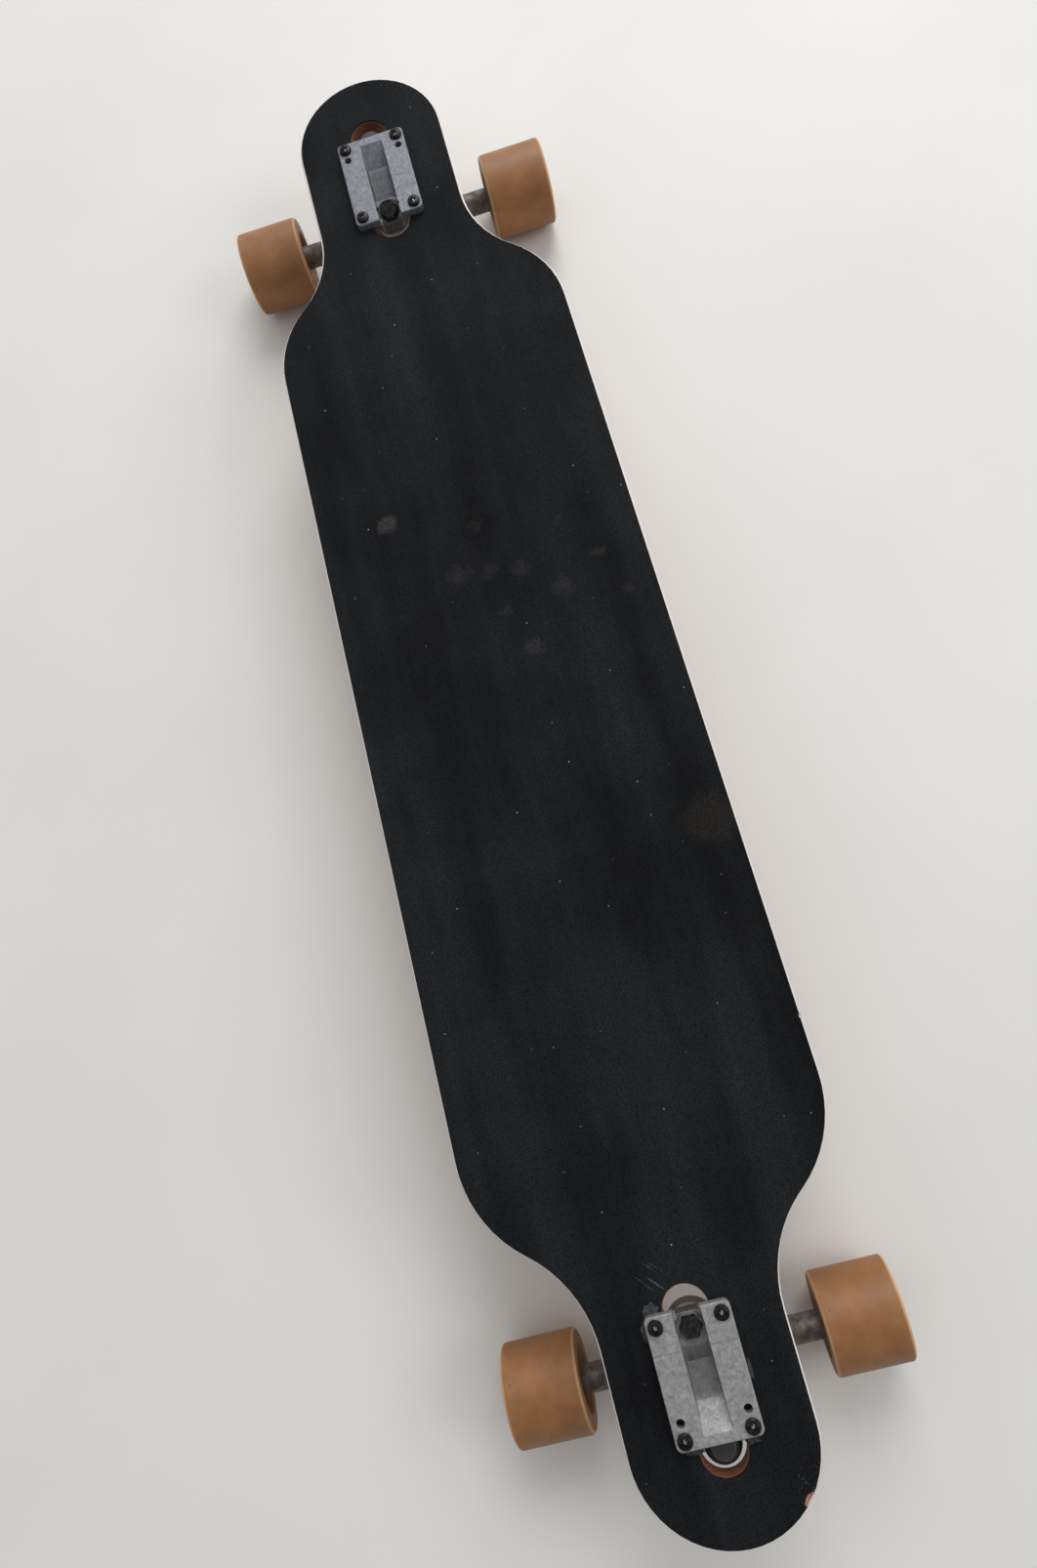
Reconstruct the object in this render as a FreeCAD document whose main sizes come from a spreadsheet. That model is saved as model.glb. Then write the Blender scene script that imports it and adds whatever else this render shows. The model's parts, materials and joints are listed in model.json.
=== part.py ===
"""A drop-through longboard: cutaway deck, two cast trucks, four wheels on ball bearings.

Frame: +X to the front (wider) end, +Y to the rider's left, +Z up, the origin on the
ground below the middle of the deck. Lengths are millimetres, angles degrees.
"""
import FreeCAD, Part
import math
import os
import Sketcher

doc = FreeCAD.newDocument("longboard")
sheet = doc.addObject("Spreadsheet::Sheet", "sizes")

SIZES = {
    # Deck and grip
    "deck_length": 1070,
    "deck_thickness": 11,
    "tip_radius": 58,
    "front_half_width": 120.3,
    "rear_half_width": 111.3,
    "front_neck_setback": 62,
    "front_flare_length": 49.5,
    "rear_neck_setback": 66,
    "rear_flare_length": 44.5,
    "deck_edge_radius": 2.5,
    "grip_thickness": 1,
    "grip_inset": 0.6,
    # Slots and bolt pattern
    "truck_setback": 97.5,
    "slot_width": 28.5,
    "slot_inner_reach": 50.5,
    "slot_keel_room": 24,
    "bolt_end_margin": 6.25,
    "bolt_spacing_wide": 41.28,
    "spare_hole_step": 9.52,
    "bolt_hole_radius": 2.75,
    "bolt_radius": 2.4,
    "bolt_head_radius": 4.75,
    "bolt_head_height": 2.6,
    "bolt_tip": 1.6,
    "bolt_nut_flats": 9.5,
    "bolt_nut_height": 5,
    # Baseplate casting
    "plate_length": 76,
    "plate_width": 53.5,
    "plate_thickness": 6,
    "plate_corner_radius": 4,
    "plate_edge_radius": 0.8,
    "keel_width": 26,
    "keel_depth": 15,
    "keel_inner_setback": 7,
    "keel_pivot_setback": 24,
    "channel_width": 18,
    "channel_floor_width": 15,
    "channel_end_margin": 6.6,
    "channel_ramp_reach": 15.4,
    "channel_ramp_depth": 9,
    "channel_low_reach": 5.4,
    "channel_low_depth": 12.5,
    "channel_lip_reach": 15.5,
    "channel_lip_depth": 7.2,
    "notch_setback": 8,
    # Kingpin and its seat
    "steer_angle": 17,
    "seat_reach": 25,
    "seat_depth": 10,
    "boss_radius": 13,
    "boss_rise": 5.5,
    "boss_thickness": 10,
    "kingpin_radius": 4.75,
    "kingpin_head_flats": 14.3,
    "kingpin_head_height": 6,
    "kingpin_head_chamfer": 1.2,
    "kingpin_nut_height": 6.5,
    "kingpin_tip": 1.5,
    "kingpin_fit": 0.05,
    "head_room": 1,
    # Bushings and cup washers
    "bushing_radius": 12,
    "bushing_bore_room": 0.15,
    "board_bushing_height": 13,
    "road_bushing_height": 12,
    "road_bushing_tip_radius": 10,
    "bushing_waist": 0.8,
    "cup_washer_thickness": 1.5,
    "cup_washer_rim_height": 2,
    "cup_washer_rim": 1,
    "bushing_seat_room": 0.3,
    # Pivot
    "pivot_reach": 58,
    "pivot_radius": 6,
    "pivot_fit": 0.05,
    "pivot_cup_wall": 2.5,
    "pivot_cup_floor": 2,
    "pivot_cup_reach": 10,
    "pivot_cup_flare": 1.5,
    "housing_wall": 3.5,
    "housing_reach": 12,
    "housing_dome_step": 5,
    "housing_top_depth": 8,
    # Hanger and axle
    "ring_radius": 17,
    "ring_half_thickness": 5,
    "ring_web_half": 3,
    "ring_hole_radius": 7.5,
    "nose_root_radius": 9,
    "nose_root_reach": 12,
    "nose_neck_back": 9,
    "hanger_body_width": 24,
    "hanger_body_radius": 3,
    "washer_room": 1.5,
    "socket_radius": 10.5,
    "hanger_half_width": 90,
    "arm_radius": 9,
    "arm_root_radius": 12,
    "arm_root_reach": 48,
    "arm_end_radius": 7,
    "arm_end_taper": 4,
    "axle_outset": 10,
    "axle_drop": 68.5,
    "axle_radius": 4,
    "axle_tip": 2,
    "axle_nut_flats": 13,
    "axle_nut_height": 6,
    "speed_washer_thickness": 1,
    "speed_washer_radius": 5.6,
    # Wheel and bearing
    "wheel_radius": 31.75,
    "wheel_width": 51,
    "wheel_lap": 10,
    "wheel_opening_radius": 21,
    "wheel_floor_radius": 17,
    "wheel_floor_step": 1.5,
    "wheel_lip_radius": 2.5,
    "wheel_web_radius": 8.6,
    "bearing_shoulder": 1.2,
    "bearing_radius": 11,
    "bearing_width": 7,
    "bearing_bore_fit": 0.02,
    "spacer_length": 10,
    "spacer_radius": 5.4,
    "ball_radius": 1.985,
    "ball_circle_radius": 7.5,
    "groove_fit": 0.045,
    "inner_land_radius": 6.1,
    "outer_land_radius": 8.9,
    "shield_radius": 9.6,
    "shield_hole_radius": 6.5,
    "shield_thickness": 0.5,
    "shield_setback": 0.25,
    "cage_half_width": 2.45,
    "cage_wall": 0.8,
    "cage_pocket_fit": 0.1,
    # Length by which a cut runs past the face that it opens
    "overrun": 20,
    # Distance within which two places count as the same
    "tolerance": 0.001,
}

BALL_COUNT = 7
HEX_SIDES = 6
DOME_SHARE = 0.55
NOSE_SHARE = 0.6
FOOT_SHARE = 0.7
NECK_SHARE = 0.482
SHOULDER_SHARE = 0.487


class Size(float):
    """A number that carries the sheet expression it is worked out by."""

    def __new__(cls, value, text):
        size = super().__new__(cls, value)
        size.text = text
        return size

    def __add__(self, other):
        return joined(self, "+", other, float(self) + float(other))

    def __radd__(self, other):
        return joined(other, "+", self, float(other) + float(self))

    def __sub__(self, other):
        return joined(self, "-", other, float(self) - float(other))

    def __rsub__(self, other):
        return joined(other, "-", self, float(other) - float(self))

    def __mul__(self, other):
        return joined(self, "*", other, float(self) * float(other))

    def __rmul__(self, other):
        return joined(other, "*", self, float(other) * float(self))

    def __truediv__(self, other):
        return joined(self, "/", other, float(self) / float(other))

    def __neg__(self):
        return Size(-float(self), f"(-{self.text})")


def text_of(value):
    return value.text if isinstance(value, Size) else f"{float(value):.9f}"


def joined(left, sign, right, value):
    return Size(value, f"({text_of(left)} {sign} {text_of(right)})")


def sine(angle):
    return Size(math.sin(math.radians(angle)), f"sin({text_of(angle)} * 1 deg)")


def cosine(angle):
    return Size(math.cos(math.radians(angle)), f"cos({text_of(angle)} * 1 deg)")


def root(square):
    return Size(math.sqrt(square), f"sqrt({text_of(square)})")


class Sizes:
    """The sheet's cells by alias, as numbers that keep their expression."""

    def __init__(self, values):
        for row, (alias, value) in enumerate(values.items(), start=1):
            sheet.set(f"A{row}", alias)
            sheet.set(f"B{row}", str(value))
            sheet.setAlias(f"B{row}", alias)
        doc.recompute()
        for alias in values:
            setattr(self, alias, Size(sheet.get(alias), f"sizes.{alias}"))


s = Sizes(SIZES)


def bind(item, **values):
    """Ties properties of an object to the sheet."""
    for name, value in values.items():
        item.setExpression(name, text_of(value))
    return item


def vector(x=0, y=0, z=0):
    return FreeCAD.Vector(float(x), float(y), float(z))


def place(x=0, y=0, z=0, axis=(0, 0, 1), angle=0):
    return FreeCAD.Placement(vector(x, y, z), FreeCAD.Rotation(vector(*axis), float(angle)))


def sketch_on(body, role, name):
    sketch = body.newObject("Sketcher::SketchObject", name)
    plane = next(item for item in body.Origin.OriginFeatures if item.Role == role)
    sketch.AttachmentSupport = (plane, [""])
    sketch.MapMode = "FlatFace"
    return sketch


def hold(sketch, edge, end, x, y):
    """Holds a point of a sketch at sizes measured from the sketch's origin."""
    for kind, value, axis in (("DistanceX", x, -2), ("DistanceY", y, -1)):
        if value == 0:
            sketch.addConstraint(Sketcher.Constraint("PointOnObject", edge, end, axis))
        else:
            held = Sketcher.Constraint(kind, -1, 1, edge, end, float(value))
            index = sketch.addConstraint(held)
            sketch.setExpression(f"Constraints[{index}]", text_of(value))


def outline(sketch, corners):
    """Closed outline; a third value makes a half circle about (value, 0) to the next corner."""
    first = sketch.GeometryCount
    count = len(corners)
    for i, corner in enumerate(corners):
        start = vector(corner[0], corner[1])
        following = corners[(i + 1) % count]
        finish = vector(following[0], following[1])
        if len(corner) == 3:
            middle = vector(corner[2] - corner[1], 0)
            sketch.addGeometry(Part.Arc(start, middle, finish))
        else:
            sketch.addGeometry(Part.LineSegment(start, finish))
    for i in range(count):
        following = first + (i + 1) % count
        sketch.addConstraint(Sketcher.Constraint("Coincident", first + i, 2, following, 1))
    for i, corner in enumerate(corners):
        hold(sketch, first + i, 1, corner[0], corner[1])
        if len(corner) == 3:
            centre = Sketcher.Constraint("DistanceX", -1, 1, first + i, 3, float(corner[2]))
            index = sketch.addConstraint(centre)
            sketch.setExpression(f"Constraints[{index}]", text_of(corner[2]))


def circle(sketch, radius, x=0, y=0):
    edge = sketch.addGeometry(Part.Circle(vector(x, y), vector(z=1), float(radius)))
    hold(sketch, edge, 3, x, y)
    index = sketch.addConstraint(Sketcher.Constraint("Radius", edge, float(radius)))
    sketch.setExpression(f"Constraints[{index}]", text_of(radius))


def feature(body, kind, name, profile, **sizes):
    item = body.newObject(f"PartDesign::{kind}", name)
    item.Profile = profile
    return bind(item, **sizes)


def turned(label, points, where, groove=None):
    """A piece turned about its own Z axis, with an optional round ball groove."""
    body = doc.addObject("PartDesign::Body", label)
    profile = sketch_on(body, "XZ_Plane", f"{label}_profile")
    outline(profile, points)
    turn = feature(body, "Revolution", f"{label}_turn", profile)
    turn.ReferenceAxis = (profile, ["V_Axis"])
    if groove:
        track = sketch_on(body, "XZ_Plane", f"{label}_track")
        circle(track, groove[0], groove[1], groove[2])
        race = feature(body, "Groove", f"{label}_groove", track)
        race.ReferenceAxis = (track, ["V_Axis"])
    body.Placement = where
    return body


def ring_points(inner, outer, low, high):
    return [(inner, low), (outer, low), (outer, high), (inner, high)]


def hexagon(flats):
    corner = flats / math.sqrt(3)
    turns = [2 * math.pi * i / HEX_SIDES + math.pi / HEX_SIDES for i in range(HEX_SIDES)]
    return [(corner * math.cos(turn), corner * math.sin(turn)) for turn in turns]


def hex_nut(label, flats, hole, height, where):
    body = doc.addObject("PartDesign::Body", label)
    sketch = sketch_on(body, "XY_Plane", f"{label}_section")
    outline(sketch, hexagon(flats))
    circle(sketch, hole)
    feature(body, "Pad", f"{label}_pad", sketch, Length=height)
    body.Placement = where
    return body


def slab(label, points, width):
    """A side profile in the XZ plane, made symmetrically to both sides."""
    body = doc.addObject("PartDesign::Body", label)
    sketch = sketch_on(body, "XZ_Plane", f"{label}_side")
    outline(sketch, points)
    pad = feature(body, "Pad", f"{label}_pad", sketch, Length=width)
    pad.SideType = "Symmetric"
    return body


def cylinder(label, radius, length, where):
    item = doc.addObject("Part::Cylinder", label)
    item.Placement = where
    return bind(item, Radius=radius, Height=length)


def cone(label, radius_low, radius_high, length, where):
    item = doc.addObject("Part::Cone", label)
    item.Placement = where
    return bind(item, Radius1=radius_low, Radius2=radius_high, Height=length)


def sphere(label, radius, where):
    item = doc.addObject("Part::Sphere", label)
    item.Placement = where
    return bind(item, Radius=radius)


def fused(label, pieces):
    item = doc.addObject("Part::MultiFuse", label)
    item.Shapes = pieces
    return item


def cut(label, base, tool):
    item = doc.addObject("Part::Cut", label)
    item.Base = base
    item.Tool = tool
    return item


def common(label, base, tool):
    item = doc.addObject("Part::Common", label)
    item.Base = base
    item.Tool = tool
    return item


def group(label, pieces):
    item = doc.addObject("Part::Compound", label)
    item.Links = pieces
    return item


nodes = []


def keep(item):
    """Adds a finished sub-part to those written out."""
    nodes.append(item)
    return item


# Heights above the ground
plate_top = s.wheel_radius + s.axle_drop
grip_top = plate_top - s.plate_thickness
deck_top = grip_top - s.grip_thickness
deck_bottom = deck_top - s.deck_thickness

# Distances from the board's middle, for the front (1) and rear (-1) end
truck_reach = s.deck_length / 2 - s.truck_setback
neck_reaches = {1: truck_reach - s.front_neck_setback, -1: truck_reach - s.rear_neck_setback}
flare_lengths = {1: s.front_flare_length, -1: s.rear_flare_length}
half_widths = {1: s.front_half_width, -1: s.rear_half_width}

# The plate's keel reaches out to carry the pivot, and the slot clears it
keel_outer_reach = s.pivot_reach - s.keel_pivot_setback
slot_outer_reach = keel_outer_reach + s.slot_keel_room

# The bolt pattern about a truck's centre, outward first
bolt_offset = s.plate_length / 2 - s.bolt_end_margin
bolt_places = [
    (out * bolt_offset, side * s.bolt_spacing_wide / 2)
    for out in (1, -1)
    for side in (1, -1)
]
spare_places = [
    (bolt_offset - s.spare_hole_step, side * s.bolt_spacing_wide / 2)
    for side in (1, -1)
]


def board_corners(inset):
    """The cutaway outline: round tips, narrow necks and a body that tapers to the rear."""
    tip = s.deck_length / 2 - s.tip_radius
    half_tip = s.tip_radius - inset
    left = [
        (tip, half_tip),
        (neck_reaches[1], half_tip),
        (neck_reaches[1] - flare_lengths[1], half_widths[1] - inset),
        (flare_lengths[-1] - neck_reaches[-1], half_widths[-1] - inset),
        (-neck_reaches[-1], half_tip),
        (-tip, half_tip, -tip),
    ]
    right = [(corner[0], -corner[1]) for corner in reversed(left)]
    right[-1] = (tip, -half_tip, tip)
    return left + right


def edge_names(shape, test):
    """Names of the edges whose every end point passes the test."""
    return [
        f"Edge{number}"
        for number, edge in enumerate(shape.Edges, start=1)
        if all(test(vertex.Point) for vertex in edge.Vertexes)
    ]


def near(value, *wanted):
    return any(abs(value - other) < s.tolerance for other in wanted)


def upright_edges(shape, reaches):
    """Names of the edges that run straight up at the given distances along X."""
    names = set()
    for reach in reaches:
        sides = [vertex.Y for vertex in shape.Vertexes if near(vertex.X, reach)]
        for side in sides:
            names.update(edge_names(shape, lambda point: near(point.x, reach) and near(point.y, side)))
    return sorted(names)


def flare_bends(end):
    """Distance along X, and radius, of the neck's and the shoulder's bend in one flare.

    The two bends share the slanted side between them, so the edge runs as one reverse curve.
    """
    run = flare_lengths[end]
    rise = half_widths[end] - s.tip_radius
    slant = root(run * run + rise * rise)
    room = slant * (slant + run) / rise
    neck = end * neck_reaches[end]
    return (neck, NECK_SHARE * room), (neck - end * run, SHOULDER_SHARE * room)


def board_layer(label, thickness, height, inset):
    """A layer of the board with its bends rounded, slotted for the trucks and drilled."""
    body = doc.addObject("PartDesign::Body", label)
    sketch = sketch_on(body, "XY_Plane", f"{label}_outline")
    outline(sketch, board_corners(inset))
    solid = feature(body, "Pad", f"{label}_pad", sketch, Length=thickness)
    doc.recompute()
    for end, name in ((1, "front"), (-1, "rear")):
        neck, shoulder = flare_bends(end)
        bends = (("neck", neck[0], neck[1] + inset), ("shoulder", shoulder[0], shoulder[1] - inset))
        for place_name, reach, radius in bends:
            bend = body.newObject("PartDesign::Fillet", f"{label}_{name}_{place_name}")
            bend.Base = (solid, upright_edges(solid.Shape, (reach,)))
            solid = bind(bend, Radius=radius)
            doc.recompute()
    slots = sketch_on(body, "XY_Plane", f"{label}_openings")
    half_slot = s.slot_width / 2 + inset
    for end in (1, -1):
        inner = end * (truck_reach - s.slot_inner_reach + s.slot_width / 2)
        outer = end * (truck_reach + slot_outer_reach - s.slot_width / 2)
        low, high = (inner, outer) if end == 1 else (outer, inner)
        slot = [(low, -half_slot), (high, -half_slot, high), (high, half_slot), (low, half_slot, low)]
        outline(slots, slot)
        for out, side in bolt_places + spare_places:
            circle(slots, s.bolt_hole_radius, end * (truck_reach + out), side)
    opening = feature(body, "Pocket", f"{label}_cut", slots, Length=thickness + s.overrun)
    opening.Reversed = True
    body.Placement = place(z=height)
    return body, opening


def rim_edges(shape, height):
    """Names of the edges of the outer outline at one height."""
    rims = []
    for face in shape.Faces:
        box = face.BoundBox
        if near(box.ZMin, height) and near(box.ZMax, height):
            rims += face.OuterWire.Edges
    return [
        f"Edge{number}"
        for number, edge in enumerate(shape.Edges, start=1)
        if any(edge.isSame(rim) for rim in rims)
    ]


deck, deck_openings = board_layer("deck", s.deck_thickness, deck_bottom, 0)
doc.recompute()
deck_edge = deck.newObject("PartDesign::Fillet", "deck_lower_edge")
deck_edge.Base = (deck_openings, rim_edges(deck_openings.Shape, 0))
bind(deck_edge, Radius=s.deck_edge_radius)
keep(deck)
grip, grip_openings = board_layer("grip_tape", s.grip_thickness, deck_top, s.grip_inset)
keep(grip)

# Each truck in its own frame: X outward from the board's middle, Z up from the plate's top
trucks = {
    "front": place(truck_reach, 0, plate_top),
    "rear": place(-truck_reach, 0, plate_top, angle=180),
}

# Kingpin line: from the seat down and outward. Steering axis: square to it, up and outward
tilt_sin = sine(s.steer_angle)
tilt_cos = cosine(s.steer_angle)
ring_depth = s.boss_thickness + s.cup_washer_thickness + s.board_bushing_height + s.ring_web_half
ring_x = -s.seat_reach + ring_depth * tilt_sin
ring_z = -s.seat_depth - ring_depth * tilt_cos
road_cup_depth = ring_depth + s.ring_web_half + s.road_bushing_height
nut_depth = road_cup_depth + s.cup_washer_thickness
kingpin_end = nut_depth + s.kingpin_nut_height + s.kingpin_tip
cup_washer_radius = s.bushing_radius + s.bushing_seat_room + s.cup_washer_rim

# The axle seen from the ring's centre: along the steering axis, and down the kingpin
axle_along = (s.axle_outset - ring_x) * tilt_cos - (s.axle_drop + ring_z) * tilt_sin
axle_below = (s.axle_outset - ring_x) * tilt_sin + (s.axle_drop + ring_z) * tilt_cos


def on_kingpin(depth=0, turn=0):
    """Frame on the kingpin line, Z down it, at a depth below the head's seat."""
    seat = place(-s.seat_reach, 0, -s.seat_depth, axis=(0, 1, 0), angle=180 - s.steer_angle)
    return seat.multiply(place(z=depth, angle=turn))


def on_steering(reach=0):
    """Frame on the steering axis, Z up and outward along it, measured from the ring's centre."""
    ring = place(ring_x, 0, ring_z, axis=(0, 1, 0), angle=90 - s.steer_angle)
    return ring.multiply(place(z=reach))


def baseplate(end):
    """Cast plate with its keel through the deck, the inclined kingpin seat and pivot housing."""
    name = f"{end}_baseplate"
    plate = doc.addObject("PartDesign::Body", f"{name}_plate")
    section = sketch_on(plate, "XY_Plane", f"{name}_section")
    half_length = s.plate_length / 2
    half_width = s.plate_width / 2
    corners = [
        (-half_length, -half_width),
        (half_length, -half_width),
        (half_length, half_width),
        (-half_length, half_width),
    ]
    outline(section, corners)
    pad = feature(plate, "Pad", f"{name}_pad", section, Length=s.plate_thickness)
    pad.Reversed = True
    doc.recompute()
    rounding = plate.newObject("PartDesign::Fillet", f"{name}_corners")
    rounding.Base = (pad, upright_edges(pad.Shape, (half_length, -half_length)))
    bind(rounding, Radius=s.plate_corner_radius)
    doc.recompute()
    easing = plate.newObject("PartDesign::Fillet", f"{name}_top_edge")
    easing.Base = (rounding, rim_edges(rounding.Shape, 0))
    bind(easing, Radius=s.plate_edge_radius)
    drilling = sketch_on(plate, "XY_Plane", f"{name}_drilling")
    for out, side in bolt_places + spare_places:
        circle(drilling, s.bolt_hole_radius, out, side)
    feature(plate, "Pocket", f"{name}_holes", drilling, Length=s.plate_thickness + s.overrun)

    keel_inner_reach = half_length - s.keel_inner_setback
    keel_side = [
        (-keel_inner_reach, -s.plate_thickness / 2),
        (-keel_inner_reach, -s.keel_depth),
        (keel_outer_reach, -s.keel_depth),
        (keel_outer_reach, -s.plate_thickness / 2),
    ]
    keel = slab(f"{name}_keel", keel_side, s.keel_width)
    boss_length = s.boss_rise + s.boss_thickness
    boss = cylinder(f"{name}_boss", s.boss_radius, boss_length, on_kingpin(-s.boss_rise))
    cup_radius = s.pivot_radius + s.pivot_fit + s.pivot_cup_wall
    housing_radius = cup_radius + s.housing_wall
    barrel_length = s.housing_reach + s.housing_dome_step
    barrel = cylinder(
        f"{name}_barrel", housing_radius, barrel_length, on_steering(s.pivot_reach - s.housing_reach)
    )
    dome = sphere(f"{name}_dome", housing_radius, on_steering(s.pivot_reach + s.housing_dome_step))
    below = doc.addObject("Part::Box", f"{name}_below_top")
    bind(below, Length=s.plate_length, Width=s.plate_width, Height=s.pivot_reach)
    below.Placement = place(0, -half_width, -s.housing_top_depth - s.pivot_reach)
    housing = common(f"{name}_housing", fused(f"{name}_round", [barrel, dome]), below)
    casting = fused(f"{name}_casting", [plate, keel, boss, housing])

    channel_rim_reach = half_length - s.channel_end_margin
    trough_side = [
        (-half_length - s.overrun, s.overrun),
        (-half_length - s.overrun, -s.channel_lip_depth),
        (-s.channel_lip_reach, -s.channel_lip_depth),
        (-s.channel_low_reach, -s.channel_low_depth),
        (s.channel_ramp_reach, -s.channel_ramp_depth),
        (channel_rim_reach, 0),
        (channel_rim_reach, s.overrun),
    ]
    trough = slab(f"{name}_trough", trough_side, s.channel_width)
    draft = doc.addObject("PartDesign::Body", f"{name}_draft")
    across = sketch_on(draft, "YZ_Plane", f"{name}_across")
    half_floor = s.channel_floor_width / 2
    half_top = s.channel_width / 2
    walls = [
        (-half_floor, -s.channel_low_depth),
        (half_floor, -s.channel_low_depth),
        (half_top, 0),
        (half_top, s.overrun),
        (-half_top, s.overrun),
        (-half_top, 0),
    ]
    outline(across, walls)
    run = feature(draft, "Pad", f"{name}_run", across, Length=2 * (s.plate_length + s.overrun))
    run.SideType = "Symmetric"
    channel = common(f"{name}_channel", trough, draft)
    pocket_radius = s.kingpin_head_flats / math.sqrt(3) + s.head_room
    pocket_depth = s.seat_depth + s.overrun
    pocket = cylinder(f"{name}_head_pocket", pocket_radius, pocket_depth, on_kingpin(-pocket_depth))
    hole_radius = s.kingpin_radius + s.kingpin_fit
    hole_depth = s.boss_thickness + s.overrun
    hole = cylinder(f"{name}_kingpin_hole", hole_radius, hole_depth, on_kingpin(-s.boss_rise))
    bore_start = s.pivot_reach - s.pivot_cup_reach - s.overrun
    bore_end = s.pivot_reach + s.pivot_radius + s.pivot_cup_floor
    bore = cylinder(f"{name}_cup_bore", cup_radius, bore_end - bore_start, on_steering(bore_start))
    notch = doc.addObject("Part::Box", f"{name}_notch")
    bind(notch, Length=s.plate_length, Width=s.channel_floor_width, Height=s.plate_length)
    notch_x = -s.seat_reach - s.notch_setback - s.plate_length
    notch.Placement = place(notch_x, -half_floor, -s.plate_length / 2)
    hollows = fused(f"{name}_hollows", [channel, pocket, hole, bore, notch])
    return cut(name, casting, hollows)


def pivot_cup(end):
    """Urethane cup that takes the hanger's round nose."""
    inner = s.pivot_radius + s.pivot_fit
    outer = inner + s.pivot_cup_wall
    top = s.pivot_radius + s.pivot_cup_floor
    blank = ring_points(0, outer, -s.pivot_cup_reach, top)
    body = turned(f"{end}_pivot_cup_blank", blank, on_steering(s.pivot_reach))
    ball = sphere(f"{end}_pivot_cup_seat", inner, on_steering(s.pivot_reach))
    flare = cone(
        f"{end}_pivot_cup_flare", inner + s.pivot_cup_flare, inner, s.pivot_cup_reach,
        on_steering(s.pivot_reach - s.pivot_cup_reach),
    )
    return cut(f"{end}_pivot_cup", body, fused(f"{end}_pivot_cup_hollow", [ball, flare]))


def kingpin(end):
    """Hex bolt seated in the casting, through both bushings and the hanger's ring."""
    name = f"{end}_kingpin"
    body = doc.addObject("PartDesign::Body", name)
    shank = sketch_on(body, "XY_Plane", f"{name}_shank")
    circle(shank, s.kingpin_radius)
    feature(body, "Pad", f"{name}_shank_pad", shank, Length=kingpin_end)
    head = sketch_on(body, "XY_Plane", f"{name}_head")
    outline(head, hexagon(s.kingpin_head_flats))
    head_pad = feature(body, "Pad", f"{name}_head_pad", head, Length=s.kingpin_head_height)
    head_pad.Reversed = True
    doc.recompute()
    chamfer = body.newObject("PartDesign::Chamfer", f"{name}_chamfer")
    chamfer.Base = (head_pad, rim_edges(head_pad.Shape, -s.kingpin_head_height))
    bind(chamfer, Size=s.kingpin_head_chamfer)
    body.Placement = on_kingpin()
    return body


def bushing(label, height, tip_radius, depth):
    """Urethane bushing with a slight waist; its far end has the tip radius."""
    bore = s.kingpin_radius + s.bushing_bore_room
    waist = (s.bushing_radius + tip_radius) / 2 - s.bushing_waist
    points = [
        (bore, 0),
        (s.bushing_radius, 0),
        (waist, height / 2),
        (tip_radius, height),
        (bore, height),
    ]
    return turned(label, points, on_kingpin(depth))


def cup_washers(end):
    """Two dished steel washers, one against the casting and one under the nut."""
    bore = s.kingpin_radius + s.bushing_bore_room
    rim_inside = cup_washer_radius - s.cup_washer_rim
    full = s.cup_washer_thickness + s.cup_washer_rim_height
    points = [
        (bore, 0),
        (cup_washer_radius, 0),
        (cup_washer_radius, full),
        (rim_inside, full),
        (rim_inside, s.cup_washer_thickness),
        (bore, s.cup_washer_thickness),
    ]
    over = on_kingpin(nut_depth).multiply(place(axis=(1, 0, 0), angle=180))
    board = turned(f"{end}_cup_washer_board", points, on_kingpin(s.boss_thickness))
    road = turned(f"{end}_cup_washer_road", points, over)
    return group(f"{end}_cup_washers", [board, road])


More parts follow.
